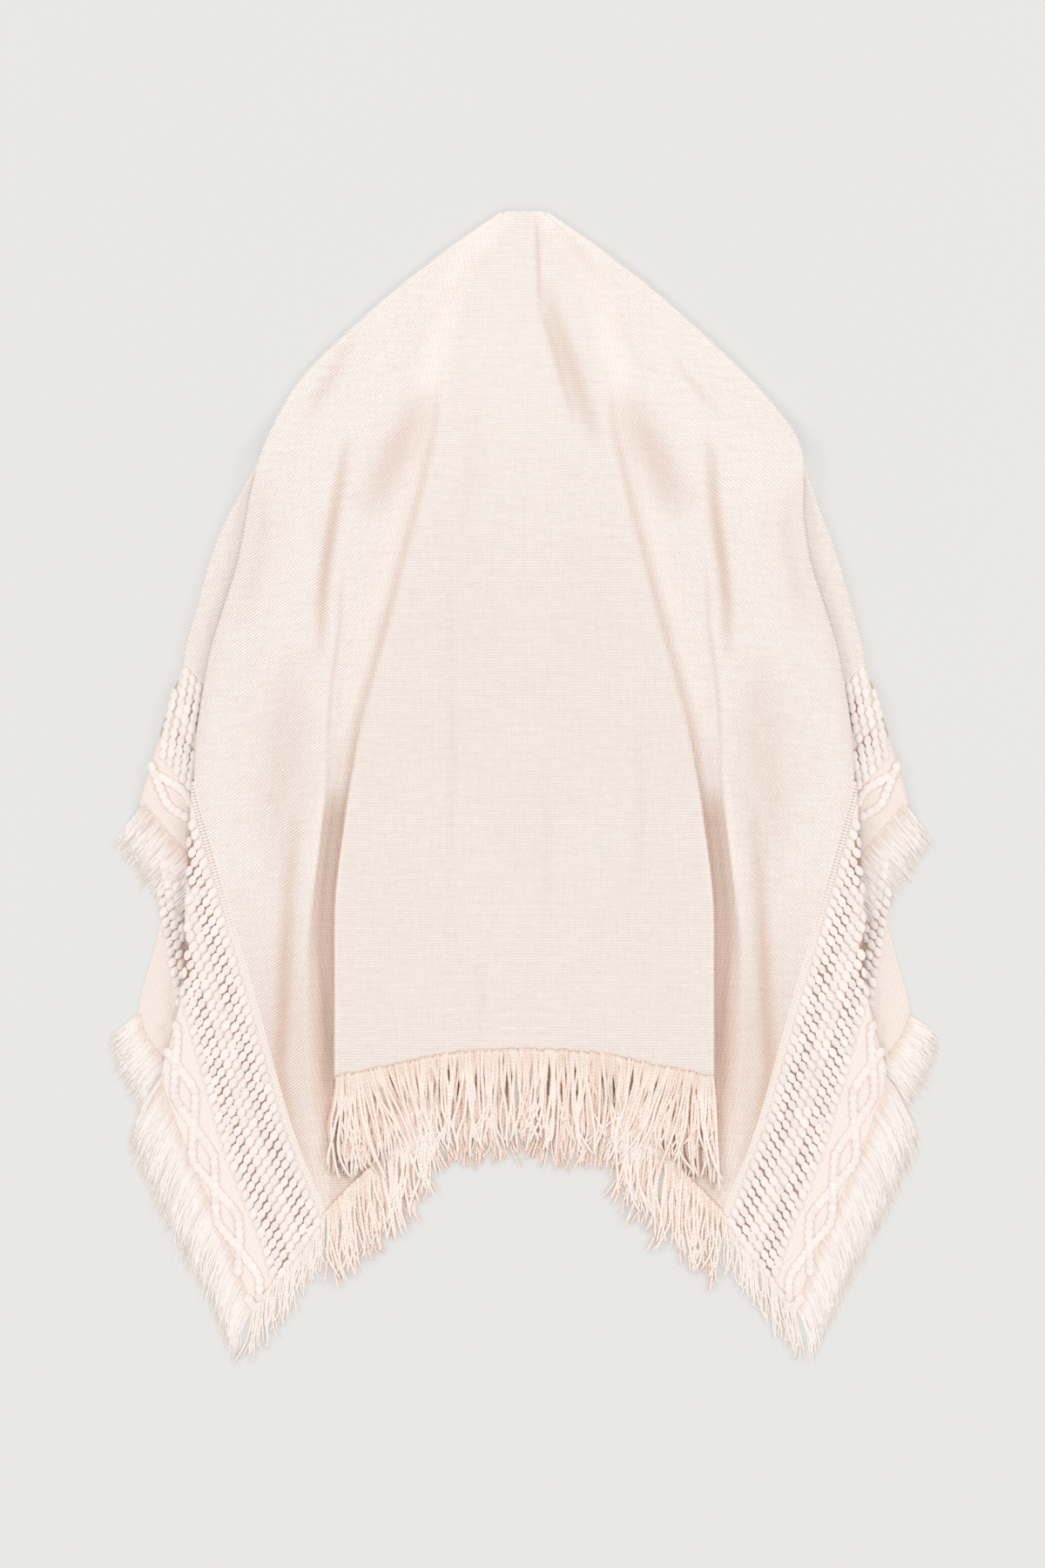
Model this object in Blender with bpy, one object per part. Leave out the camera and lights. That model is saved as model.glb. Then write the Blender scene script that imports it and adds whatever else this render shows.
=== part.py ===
"""A knitted kimono cardigan (open-fronted ruana), laid flat with its back upward.

The cloth is a 2 mm wall. The two fronts lie flat underneath, face down. Each one turns
over the outline below the shoulder and shows a strip of its patterned border on top. The
back lies over them: a centre panel between two inverted box pleats, and a side drape each
side, whose outer edge is turned under. A ladder row joins each patterned border to the
plain cloth, and fringes run along every hem and selvedge.

Sizes are in millimetres. A place on the left half is given by its distance out from the
centre line ("out"), its distance down from the back neck ("down") and its height above
the surface that the garment lies on. The right half mirrors it, a little fuller at the
shoulder. +Y points to the neck and +Z is up.
"""

import math

import bmesh
import bpy
import numpy as np

# ---- driving sizes (mm) -------------------------------------------------------------
MM = 0.001
WALL = 2.0  # cloth thickness
SEAM = 0.35  # gap between neighbouring pieces
FRONT_LEVEL = WALL / 2  # height of the fronts' middle surface, flat on the floor
TOTAL_DROP = 1165.0  # neck to the lowest fringe tip
OPEN_EDGE = 10.5  # open front edge, out from the centre line

ROLL_RADIUS = 2.6  # of the roll along the outline
ROLL_LIP = 1.5  # flat lip under the roll, before the seam
FOLD_STEPS = 3  # faces round a fold
FRONT_INSET = WALL / 2 + ROLL_RADIUS + ROLL_LIP + SEAM  # the fronts' seam, inside the outline

SHOULDER_FULLNESS = 16.0  # how much further out the right shoulder reaches
SHOULDER_DOWN = 232.0
SHOULDER_SPAN = 50.0
FULLNESS_FROM = 120.0
FULLNESS_TO = 250.0
LEFT, RIGHT = -1, 1
SIDES = ((LEFT, "left"), (RIGHT, "right"))

# ---- sections of the back -----------------------------------------------------------
# A row is one section across the left half, from neck to hem. Its columns are six
# features of the folds, each (out, down, height of the wall's middle): the centre line,
# the pleat's outer crease, the valley beside it, the ridge of the drape, the middle of the
# drape, and the garment's edge (outline, turned edge, then ladder row).
BACK_SECTIONS = (
    ((0, 0, 3.8), (10, 0, 3.8), (12, 0, 3.8), (15, 0, 3.9), (18, 0, 4.2), (24, 0, 5.2)),
    ((0, 45, 4.6), (50, 52, 4.6), (58, 54, 4.3), (66, 58, 4.4), (78, 60, 4.4), (94, 50, 6.0)),
    ((0, 82, 5.0), (66, 92, 5.4), (78, 96, 4.5), (112, 112, 5.6), (140, 121, 4.8), (165, 109, 6.2)),
    ((0, 125, 5.4), (76, 135, 6.6), (95, 141, 4.4), (158, 165, 7.6), (200, 185, 5.4), (234, 181, 6.2)),
    ((0, 184, 5.4), (83, 194, 8.0), (104, 200, 4.2), (180, 221, 9.0), (225, 240, 7.0), (266, 249, 13.4)),
    ((0, 212, 5.2), (87, 223, 9.8), (110, 231, 3.6), (182, 247, 9.6), (228, 266, 7.0), (274, 282, 13.2)),
    ((0, 277, 5.2), (103, 290, 11.2), (118, 297, 3.6), (186, 310, 10.2), (235, 328, 7.0), (286, 347, 13.0)),
    ((0, 391, 5.6), (132, 404, 11.6), (141, 410, 3.6), (192, 419, 10.8), (257, 436, 7.0), (317, 452, 13.0)),
    ((0, 487, 6.0), (158, 498, 11.6), (169, 505, 3.6), (196, 512, 11.2), (266, 527, 7.2), (330, 540, 13.0)),
    ((0, 531, 6.2), (174, 540, 11.6), (184, 547, 3.6), (199, 550, 11.2), (266, 562, 8.0), (331, 572, 13.0)),
    ((0, 605, 6.4), (185, 614, 11.6), (193, 623, 3.6), (208, 638, 11.2), (254, 662, 9.4), (301, 678, 10.4)),
    ((0, 697, 6.6), (192, 713, 11.6), (199, 734, 3.6), (219, 742, 9.6), (245, 765, 8.4), (264, 785, 8.0)),
    ((0, 784, 6.8), (192, 806, 11.6), (173, 885, 3.6), (205, 900, 4.6), (216, 909, 4.8), (228, 918, 5.0)),
    ((0, 843, 6.8), (192, 870, 11.6), (144, 949, 3.6), (180, 986, 3.2), (189, 996, 3.1), (198, 1005, 3.0)),
)
# For the same sections, the run of cloth between the pleat's outer and inner crease, and
# how far down the inner crease lies. A run above 0 slopes outward, and below 0 it is turned
# under the centre panel.
PLEAT_RUNS = (
    (0.5, 0), (4, 53), (9, 94), (13, 138), (14, 197), (9, 226), (-4, 293),
    (-17, 408), (-34, 503), (-45, 547), (-58, 623), (-72, 725), (-86, 825), (-97, 894),
)
EDGE_RADIUS = (2.1, 2.4, 2.6, 2.6, 2, 2, 2, 2, 2, 2, 2, 2, 2, 2)  # of the turned edge
EDGE_RETURN = (1.5, 1.5, 1.5, 1.5, 6, 12, 15, 15, 15, 15, 15, 15, 15, 15)  # turned under
LADDER_START = 9  # section where the ladder row leaves the turned edge
HEM_SECTION = len(BACK_SECTIONS) - 1
UPPER_ROWS = 18  # faces down the back above the ladder row's start
ROWS_PER_SECTION = 3  # and in each section below it
PLEAT_CLEARANCE = 18.0  # the centre panel stays high this far past the turned-under run

LEAST_FOLD_RADIUS = 1.5
FORMED_TURN = math.radians(60)  # slope from which the pleat is a fold
FULLY_HIDDEN = 10.0  # run turned under that lifts the centre panel fully
GUARD_SHARE = 0.62  # or at least this share of the way out to the pleat's outer crease
GUARD_DROP = 1.1  # the centre panel falls this much from the crease to there
EDGE_SHAPE = 1.6  # how late the cloth falls away from a turned edge
EDGE_COLUMNS = FOLD_STEPS + 2  # columns of a turned edge, its top included
TURNED_FACES = EDGE_COLUMNS - 1
PLEAT_FIRST = 5  # column where the pleat starts

# The soft hollow beside the centre line at the neck, on the right half: (out, down).
HOLLOW_TOP = (8.0, 10.0)
HOLLOW_FOOT = (66.0, 235.0)
HOLLOW_WIDTH = 13.0
HOLLOW_DEPTH = 1.6

# ---- patterned borders of the back --------------------------------------------------
# Outer edge of the border at the section numbers used above: (section, out, down, height,
# radius of the turned edge, return turned under). The fold ends where the selvedge starts.
BORDER_EDGE = (
    (9.0, 334.0, 572, 13.0, 2.0, 15),
    (9.5, 336, 630, 13.0, 2.0, 15),
    (10.0, 340, 695, 12.4, 2.0, 15),
    (10.5, 341, 760, 9.6, 2.0, 14),
    (11.0, 356, 835, 7.2, 1.9, 10),
    (11.3333, 364, 866, 6.6, 1.7, 6),
    (11.6667, 349, 917, 2.6, 1.7, 6),
    (12.0, 326, 974, 1.2, 1.7, 6),
    (12.5, 300, 1032, 1.0, 1.7, 6),
    (13.0, 273, 1104, 1.0, 1.7, 6),
)
FOLD_END = 11.34
# Lines of the border, out from the ladder row: a rib stands each side of the two bobble
# bands and beside the cable, which is two cords that cross and open again.
RIB_LINES = (9.0, 41.0, 71.0, 86.0)
RIB_HALF_WIDTH = 1.6
RIB_HEIGHT = 1.2
CABLE_LINES = (90.0, 98.0, 106.0)
CABLE_HEIGHT = 1.4
BORDER_WIDTH = 120.0

# ---- fronts -------------------------------------------------------------------------
# A row is one section of a front: down at the open edge, then (out, down) of the outline
# or, below the wrap, of the ladder row, and (out, down) of the hidden end of the strip
# that wraps over the outline, where there is one.
FRONT_SECTIONS = (
    (2, (24, 0), None),
    (30, (94, 50), None),
    (75, (165, 109), None),
    (140, (234, 181), None),
    (215, (266, 249), (240, 262)),
    (250, (283, 278), (245, 296)),
    (305, (309, 330), (258, 350)),
    (370, (330, 400), (275, 425)),
    (430, (342, 452), (296, 500)),
    (480, (317, 508), None),
    (530, (298, 555), None),
    (575, (284, 598), None),
    (625, (272, 640), None),
    (665, (264, 672), None),
    (720, (257, 725), None),
    (800, (249, 800), None),
    (850, (243, 850), None),
    (891, (238, 891), None),
)
WRAP_START = 4
WRAP_END = 8
# Outer edge of a front's border, for the sections from WRAP_END on, and the hidden end of
# its part of the strip.
FRONT_BORDER = (
    ((342, 452.0), (296, 500)),
    ((359, 503), (300, 560)),
    ((374, 552), (306, 620)),
    ((386, 596), (312, 678)),
    ((372, 632), None),
    ((365, 672), None),
    ((366, 715), None),
    ((387, 806), None),
    ((358, 861), None),
    ((345, 891), None),
)
STRIP_END = 3
STRIP_SHARES = (0.35, 0.7, 1.0)
FRONT_SHARES = (0, 0.3, 0.6, 0.85, 1.0)  # columns from the open edge to the border
STRIP_RIBS = (1, 2)  # sections of the strip that stand up as ribs
STRIP_RIB_HEIGHT = 0.8
SIDE_CORNER = (7, 8)  # sections of the border between which its short selvedge shows

# ---- fringes ------------------------------------------------------------------------
ROOT_GAP = 0.6  # from the cloth's edge to the narrow strip that the strands are fused into
ROOT_WIDTH = 3.0
STRAND_THICKNESS = 1.5
STRAND_WIDTH = 2.6
STRAND_TAPER = 0.75
ROOT_TRIM = 0.012  # share of the hem left bare at each end
SWAY = 1.6

# ---- colours ------------------------------------------------------------------------
CREAM = (0.88, 0.80, 0.73, 1.0)
PALE_CREAM = (0.90, 0.83, 0.76, 1.0)
YARN = (0.84, 0.75, 0.67, 1.0)


# ---- curves -------------------------------------------------------------------------
def smooth(values, places):
    """Read rows of numbers at fractional row numbers, with no overshoot between rows."""
    values = np.asarray(values, dtype=float)
    places = np.clip(np.asarray(places, dtype=float), 0, len(values) - 1)
    steps = np.diff(values, axis=0)
    before, after = steps[:-1], steps[1:]
    total = before + after
    inner = np.where(before * after > 0, 2 * before * after / np.where(total == 0, 1, total), 0)
    slopes = np.concatenate([steps[:1], inner, steps[-1:]])
    low = np.minimum(places.astype(int), len(values) - 2)
    t = places - low
    t = t.reshape(t.shape + (1,) * (values.ndim - 1))
    start, end = values[low], values[low + 1]
    rise = t * t * (3 - 2 * t)
    return start + (end - start) * rise + slopes[low] * t * (1 - t) ** 2 - slopes[low + 1] * t * t * (1 - t)


def spread(points, fractions):
    """Points of a polyline at fractions of its length."""
    points = np.asarray(points, dtype=float)
    lengths = np.linalg.norm(np.diff(points, axis=0), axis=1)
    along = np.concatenate([[0], np.cumsum(lengths)])
    wanted = np.asarray(fractions) * along[-1]
    return np.stack([np.interp(wanted, along, points[:, axis]) for axis in range(points.shape[1])], axis=1)


def inward(edge):
    """Unit directions in the plane, square to an edge that runs down, toward the centre."""
    along = np.gradient(edge[:, :2], axis=0)
    along /= np.linalg.norm(along, axis=1, keepdims=True)
    return np.stack([-along[:, 1], along[:, 0]], axis=1)


def turned_edge(edge, heights, radii, returns, last):
    """Columns of a wall that turns under at its edge: the top of the fold, round, and back.

    The fold ends at row number last, and the columns below it stay on the edge.
    """
    direction = np.zeros_like(edge)
    direction[: last + 1] = inward(edge[: last + 1])
    radii = np.where(np.arange(len(edge)) > last, 0, radii)
    columns = []
    for step in range(FOLD_STEPS + 1):
        angle = math.pi * step / FOLD_STEPS
        inset = WALL / 2 + radii * (1 - math.sin(angle))
        drop = radii * (1 - math.cos(angle))
        columns.append(np.column_stack([edge + direction * inset[:, None], heights - drop]))
    inset = WALL / 2 + radii + returns
    columns.append(np.column_stack([edge + direction * inset[:, None], heights - 2 * radii]))
    return columns


# ---- the back -----------------------------------------------------------------------
def back_rows():
    """Section numbers of the grid's rows: closer below the ladder row's start."""
    upper = np.linspace(0, LADDER_START, UPPER_ROWS, endpoint=False)
    sections_below = HEM_SECTION - LADDER_START
    lower = LADDER_START + np.arange(sections_below * ROWS_PER_SECTION + 1) / ROWS_PER_SECTION
    return np.concatenate([upper, lower])


def pleat_columns(crease, valley, run, tuck_down):
    """Columns of the inverted pleat, from its outer crease to its end beside the valley.

    The wall turns down by an angle, runs straight and turns back to level. A run that has
    shrunk to nothing has turned right over, and below that the wall runs back underneath.
    Where the turn is slight, the columns share the slope evenly.
    """
    fall = crease[:, 2] - valley[:, 2]
    radius = np.maximum(fall / 4, LEAST_FOLD_RADIUS)
    spare = np.maximum(4 * radius - fall, 1e-6)
    sloping = np.maximum(run, 0)
    turn = 2 * np.arctan2(fall, sloping + np.sqrt(sloping**2 + spare * fall))
    turn = np.where(run > 0, turn, math.pi)
    top = crease[:, 0] - (WALL / 2 + radius) * (1 - np.cos(turn)) / 2
    columns = []
    for step in range(FOLD_STEPS + 1):
        angle = turn * step / FOLD_STEPS
        out = top + radius * np.sin(angle)
        height = crease[:, 2] - radius * (1 - np.cos(angle))
        columns.append(np.column_stack([out, crease[:, 1], height]))
    straight = np.abs(run)
    foot = columns[-1][:, (0, 2)] + straight[:, None] * np.column_stack([np.cos(turn), -np.sin(turn)])
    for step in range(FOLD_STEPS + 1):
        angle = turn * (1 - step / FOLD_STEPS)
        out = foot[:, 0] + radius * (np.sin(turn) - np.sin(angle))
        height = foot[:, 1] - radius * (np.cos(angle) - np.cos(turn))
        columns.append(np.column_stack([out, tuck_down, height]))
    formed = np.clip(turn / FORMED_TURN, 0, 1)[:, None]
    for index, column in enumerate(columns):
        even = crease + (valley - crease) * index / len(columns)
        columns[index] = even + (column - even) * formed
    return columns


def centre_columns(centre, crease, top, run):
    """Columns from the centre line to the pleat, kept above the pleat's hidden layers."""
    hidden = np.clip(-run / FULLY_HIDDEN, 0, 1)
    guard_out = crease[:, 0] * GUARD_SHARE
    clear_out = np.minimum(guard_out, top[:, 0] + run - PLEAT_CLEARANCE)
    guard_out = guard_out + (clear_out - guard_out) * hidden
    open_height = centre[:, 2] + (crease[:, 2] - centre[:, 2]) * GUARD_SHARE
    guard_height = open_height + (crease[:, 2] - GUARD_DROP - open_height) * hidden
    columns = []
    for share in (0.0, 0.5, 1.0):
        out = guard_out * share
        down = centre[:, 1] + (crease[:, 1] - centre[:, 1]) * (out / crease[:, 0]) ** 2
        height = centre[:, 2] + (guard_height - centre[:, 2]) * share**1.5
        columns.append(np.column_stack([out, down, height]))
    guard = columns[-1]
    for share in (0.4, 0.75):
        columns.append(guard + (top - guard) * share)
    return columns


def back_half():
    """The left half of the back: its middle surface, an array of rows by columns of points,
    and its kept faces."""
    rows = back_rows()
    centre, crease, valley, ridge, drape, edge = (
        smooth([section[column] for section in BACK_SECTIONS], rows) for column in range(6)
    )
    run, tuck_down = smooth(PLEAT_RUNS, rows).T
    pleat = pleat_columns(crease, valley, run, tuck_down)
    fold_end = int(np.flatnonzero(rows <= LADDER_START)[-1])
    turned = turned_edge(
        edge[:, :2], edge[:, 2], smooth(EDGE_RADIUS, rows), smooth(EDGE_RETURN, rows), fold_end
    )

    columns = centre_columns(centre, crease, pleat[0], run) + pleat + [valley]
    columns.append(valley + (ridge - valley) * (0.55, 0.55, 0.6))
    columns.append(ridge)
    columns.append(ridge + (drape - ridge) * (0.5, 0.5, 0.62))
    columns.append(drape)
    for share in (0.35, 0.68):
        rise = 1 - (1 - share) ** EDGE_SHAPE
        columns.append(drape + (turned[0] - drape) * (share, share, rise))
    columns += turned
    points = np.stack(columns, axis=1)
    keep = np.ones((len(rows) - 1, len(columns) - 1), dtype=bool)
    keep[fold_end:, -TURNED_FACES:] = False
    return points, keep


# ---- the back's borders -------------------------------------------------------------
def border_lines():
    """Places across a border, out from the ladder row, each with its raised height."""
    lines = [(0.0, 0.0)]
    for rib in RIB_LINES:
        lines += [(rib - RIB_HALF_WIDTH, 0.0), (rib, RIB_HEIGHT), (rib + RIB_HALF_WIDTH, 0.0)]
    lines += [(line, CABLE_HEIGHT) for line in CABLE_LINES]
    lines.append((BORDER_WIDTH - 6.0, 0.0))
    return lines


def border_half(back):
    """A back border on the left: its middle surface, kept faces and raised heights."""
    rows = back_rows()
    below = rows >= LADDER_START
    rows = rows[below]
    seam = back[below][:, -EDGE_COLUMNS]
    table = np.array(BORDER_EDGE)
    out, down, height, radii, returns = smooth(
        table[:, 1:], np.interp(rows, table[:, 0], np.arange(len(table)))
    ).T
    edge = np.column_stack([out, down])
    fold_end = int(np.flatnonzero(rows <= FOLD_END)[-1])
    turned = turned_edge(edge, height, radii, returns, fold_end)

    start = seam.copy()
    start[:, :2] -= inward(seam) * SEAM
    start[0] = seam[0] + (SEAM, SEAM, 0)
    for column in turned:
        column[0, 1] += SEAM

    width = np.linalg.norm(turned[0][:, :2] - start[:, :2], axis=1)
    room = width - np.minimum(width * 0.2, 1.2)
    lines = border_lines()
    crossing = np.arange(len(rows)) % 2 == 0
    columns, raised = [], []
    for index, (line, line_height) in enumerate(lines):
        last = room * (1 - (len(lines) - index) / (len(lines) + 14))
        share = (np.minimum(line, last) / width)[:, None]
        rise = 1 - (1 - share) ** EDGE_SHAPE
        factor = np.concatenate([share, share, rise], axis=1)
        columns.append(start + (turned[0] - start) * factor)
        lift = np.full(len(rows), line_height)
        if line in CABLE_LINES:
            in_middle = line == CABLE_LINES[1]
            lift = np.where(crossing == in_middle, CABLE_HEIGHT, 0.0)
        raised.append(lift * np.clip((last - line) / RIB_HALF_WIDTH, 0, 1))
    columns += turned
    raised += [np.zeros(len(rows))] * EDGE_COLUMNS
    keep = np.ones((len(rows) - 1, len(columns) - 1), dtype=bool)
    keep[fold_end:, -TURNED_FACES:] = False
    selvedge = turned[0][fold_end + 1 :]
    return np.stack(columns, axis=1), keep, np.stack(raised, axis=1), selvedge


# ---- the fronts ---------------------------------------------------------------------
def flat(plan):
    """Places in the plane, at the level of a front that lies on the floor."""
    return np.column_stack([plan, np.full(len(plan), FRONT_LEVEL)])


def wrap_columns(outline, hidden_end):
    """Columns from the floor round the outline to the hidden end of the strip on top."""
    direction = inward(outline)
    columns = []
    for step in range(FOLD_STEPS + 1):
        angle = math.pi * step / FOLD_STEPS
        inset = WALL / 2 + ROLL_RADIUS * (1 - math.sin(angle))
        column = flat(outline + direction * inset)
        column[:, 2] += ROLL_RADIUS * (1 - math.cos(angle))
        columns.append(column)
    top = columns[-1]
    for share in STRIP_SHARES:
        column = top.copy()
        column[:, :2] += (hidden_end - top[:, :2]) * share
        columns.append(column)
    return columns


def fill_hidden(ends):
    """Give sections with no strip the end of the nearest one, for faces that are dropped."""
    known = [index for index, end in enumerate(ends) if end]
    nearest = [min(known, key=lambda place: abs(place - index)) for index in range(len(ends))]
    return [ends[index] for index in nearest]


def front_rows():
    return np.arange(0, len(FRONT_SECTIONS) - 0.5, 0.5)


def front_half():
    """The left front: its middle surface, kept faces and the edge that meets the border."""
    rows = front_rows()
    open_down = smooth([section[0] for section in FRONT_SECTIONS], rows)
    outline = smooth([section[1] for section in FRONT_SECTIONS], rows)
    hidden = smooth(fill_hidden([section[2] for section in FRONT_SECTIONS]), rows)
    inset = FRONT_INSET * np.clip((WRAP_END + 0.5 - rows) * 2, 0, 1)
    boundary = outline + inward(outline) * inset[:, None]
    open_edge = np.column_stack([np.full(len(rows), OPEN_EDGE), open_down])
    columns = [flat(open_edge + (boundary - open_edge) * share) for share in FRONT_SHARES]
    columns += wrap_columns(outline, hidden)
    keep = np.ones((len(rows) - 1, len(columns) - 1), dtype=bool)
    wrapped = (rows[:-1] >= WRAP_START) & (rows[1:] <= WRAP_END)
    keep[~wrapped, len(FRONT_SHARES) - 1 :] = False
    return np.stack(columns, axis=1), keep, boundary


def front_border_half(front_boundary):
    """The left front's border: its middle surface, kept faces and raised heights."""
    below = front_rows() >= WRAP_END
    rows = front_rows()[below] - WRAP_END
    seam = front_boundary[below]
    outline = smooth([row[0] for row in FRONT_BORDER], rows)
    hidden = smooth(fill_hidden([row[1] for row in FRONT_BORDER]), rows)
    outline[0, 1] += SEAM
    hidden[0, 1] += SEAM
    start = seam - inward(seam) * SEAM
    start[0] = seam[0] + (SEAM, SEAM)
    wrap = wrap_columns(outline, hidden)
    unwrapped = rows > STRIP_END
    wrap[0][unwrapped, :2] = outline[unwrapped]
    columns = [flat(start + (wrap[0][:, :2] - start) * share) for share in (0, 0.4, 0.75)]
    flat_faces = len(columns)
    columns += wrap
    keep = np.ones((len(rows) - 1, len(columns) - 1), dtype=bool)
    keep[rows[1:] > STRIP_END, flat_faces:] = False
    raised = np.zeros((len(rows), len(columns)))
    strip_top = flat_faces + FOLD_STEPS
    for section in STRIP_RIBS:
        raised[rows == section, strip_top : strip_top + 2] = STRIP_RIB_HEIGHT
    return np.stack(columns, axis=1), keep, raised


# ---- solids -------------------------------------------------------------------------
def to_world(points, side):
    """Turn (out, down, height) into world places on one side, in millimetres."""
    out, down, height = np.moveaxis(np.asarray(points, dtype=float), -1, 0)
    if side == RIGHT:
        bulge = np.exp(-(((down - SHOULDER_DOWN) / SHOULDER_SPAN) ** 2))
        share = np.clip((out - FULLNESS_FROM) / (FULLNESS_TO - FULLNESS_FROM), 0, 1)
        out = out + SHOULDER_FULLNESS * bulge * share**2 * (3 - 2 * share)
    return np.stack([side * out, TOTAL_DROP / 2 - down, height], axis=-1)


def corner_normals(points, keep):
    """Unit normals at a grid's corners, from the faces that are kept round each."""
    diagonal = points[1:, 1:] - points[:-1, :-1]
    other = points[1:, :-1] - points[:-1, 1:]
    faces = np.cross(diagonal, other)
    faces *= keep[..., None] / np.maximum(np.linalg.norm(faces, axis=-1, keepdims=True), 1e-9)
    normals = np.zeros_like(points)
    for row in (slice(None, -1), slice(1, None)):
        for column in (slice(None, -1), slice(1, None)):
            normals[row, column] += faces
    return normals / np.maximum(np.linalg.norm(normals, axis=-1, keepdims=True), 1e-9)


def wall_mesh(points, keep, thickness, outer=1, raised=None):
    """A closed wall about a grid of points, and its corners by (row, column, layer).

    outer is 1 or -1, the layer whose corners the raised heights lift.
    """
    rows, columns = points.shape[:2]
    normals = corner_normals(points, keep)
    raised = np.zeros((rows, columns)) if raised is None else raised
    mesh = bmesh.new()
    bmesh.ops.create_grid(mesh, x_segments=columns - 1, y_segments=rows - 1, size=1.0)

    def grid_place(vert):
        return round((vert.co.y + 1) / 2 * (rows - 1)), round((vert.co.x + 1) / 2 * (columns - 1))

    dropped = []
    for face in mesh.faces:
        row, column = min(grid_place(vert) for vert in face.verts)
        if not keep[row, column]:
            dropped.append(face)
    bmesh.ops.delete(mesh, geom=dropped, context="FACES")
    layers = {-1: list(mesh.verts)}
    grown = bmesh.ops.extrude_face_region(mesh, geom=mesh.faces[:])
    layers[1] = [item for item in grown["geom"] if isinstance(item, bmesh.types.BMVert)]
    corners = {}
    for layer, verts in layers.items():
        for vert in verts:
            corners[(*grid_place(vert), layer)] = vert
    for (row, column, layer), vert in corners.items():
        lift = thickness / 2
        if layer == outer:
            lift += raised[row, column]
        vert.co = (points[row, column] + normals[row, column] * layer * lift) * MM
    bmesh.ops.recalc_face_normals(mesh, faces=mesh.faces[:])
    return mesh, corners


def finish(mesh, name, material, collection):
    """Write a mesh as a named object, with its faces pointing out."""
    bmesh.ops.recalc_face_normals(mesh, faces=mesh.faces[:])
    if mesh.calc_volume(signed=True) < 0:
        bmesh.ops.reverse_faces(mesh, faces=mesh.faces[:])
    data = bpy.data.meshes.new(name)
    mesh.to_mesh(data)
    mesh.free()
    data.materials.append(material)
    data.shade_smooth()
    data.set_sharp_from_angle(angle=math.radians(50))
    solid = bpy.data.objects.new(name, data)
    collection.objects.link(solid)


def make_wall(name, side, points, keep, material, collection, outer=1, raised=None):
    """A cloth piece on one side of the garment."""
    mesh, _ = wall_mesh(to_world(points, side), keep, WALL, outer, raised)
    finish(mesh, name, material, collection)


def hollow_depth(world):
    """Depth of the soft hollow beside the neck, at world places."""
    top, foot = (np.array((out, TOTAL_DROP / 2 - down)) for out, down in (HOLLOW_TOP, HOLLOW_FOOT))
    line = foot - top
    share = np.clip(((world[..., :2] - top) @ line) / (line @ line), 0, 1)
    distance = np.linalg.norm(world[..., :2] - top - share[..., None] * line, axis=-1)
    return HOLLOW_DEPTH * np.sin(math.pi * share) * np.exp(-((distance / HOLLOW_WIDTH) ** 2))


def make_back(half, half_keep, material, collection):
    """The back panel: both halves in one wall."""
    left = to_world(half, LEFT)[:, :0:-1]
    points = np.concatenate([left, to_world(half, RIGHT)], axis=1)
    points[..., 2] -= hollow_depth(points)
    keep = np.concatenate([half_keep[:, ::-1], half_keep], axis=1)
    mesh, _ = wall_mesh(points, keep, WALL)
    finish(mesh, "back_panel", material, collection)


# ---- fringes ------------------------------------------------------------------------
def make_fringe(name, side, root, count, fall, length, tip, yarn, collection):
    """Strands fused into a narrow strip that runs just off a hem.

    root is the hem's line. fall is the direction of the strands in the plane, length their
    length and tip the height of their tips: each is a pair, for the line's two ends.
    """
    cells = 2 * count + 1
    line = spread(root, np.linspace(ROOT_TRIM, 1 - ROOT_TRIM, cells + 1))
    along = np.gradient(line[:, :2], axis=0)
    along /= np.linalg.norm(along, axis=1, keepdims=True)
    outward = np.stack([-along[:, 1], along[:, 0]], axis=1)
    if outward[cells // 2] @ np.array(fall[0]) < 0:
        outward = -outward
    inner, outer = line.copy(), line.copy()
    inner[:, :2] += outward * ROOT_GAP
    outer[:, :2] += outward * (ROOT_GAP + ROOT_WIDTH)
    grid = to_world(np.stack([inner, outer], axis=1), side)
    mesh, corners = wall_mesh(grid, np.ones((cells, 1), dtype=bool), STRAND_THICKNESS)
    for strand in range(count):
        cell = 2 * strand + 1
        share = strand / (count - 1)
        ends = [corners[row, 1, layer] for row in (cell, cell + 1) for layer in (-1, 1)]
        face = next(each for each in ends[0].link_faces if set(ends) == set(each.verts))
        sway = SWAY * math.sin(2.4 * strand)
        direction = np.array(fall[0]) + (np.array(fall[1]) - np.array(fall[0])) * share
        direction = direction / np.linalg.norm(direction)
        unevenness = 1 + 0.05 * math.sin(5.3 * strand)
        reach = (length[0] + (length[1] - length[0]) * share) * unevenness
        end_height = tip[0] + (tip[1] - tip[0]) * share
        start = (outer[cell] + outer[cell + 1]) / 2
        add_strand(mesh, face, start, direction, reach, end_height, sway, side)
    finish(mesh, name, yarn, collection)


def add_strand(mesh, face, start, direction, length, end_height, sway, side):
    """Draw one strand out of a face of the strip, in two slightly bent stretches."""
    sideways = np.array([-direction[1], direction[0]])
    for share, bend, fallen in ((0.5, sway, 0.6), (1.0, -sway, 1.0)):
        centre = start.copy()
        centre[:2] += direction * length * share + sideways * bend * share
        centre[2] += (end_height - start[2]) * fallen
        scale = 1 - (1 - STRAND_TAPER) * share
        before = sum((vert.co for vert in face.verts), start=face.verts[0].co * 0) / len(face.verts)
        face = bmesh.ops.extrude_discrete_faces(mesh, faces=[face])["faces"][0]
        spot = to_world(centre, side)
        wide = to_world(centre + np.append(sideways, 0) * STRAND_WIDTH / 2 * scale, side) - spot
        high = np.array([0, 0, STRAND_THICKNESS / 2 * scale])
        for vert in face.verts:
            offset = np.array(vert.co - before)
            across = 1 if offset @ wide > 0 else -1
            above = 1 if offset[2] > 0 else -1
            vert.co = (spot + wide * across + high * above) * MM


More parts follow.
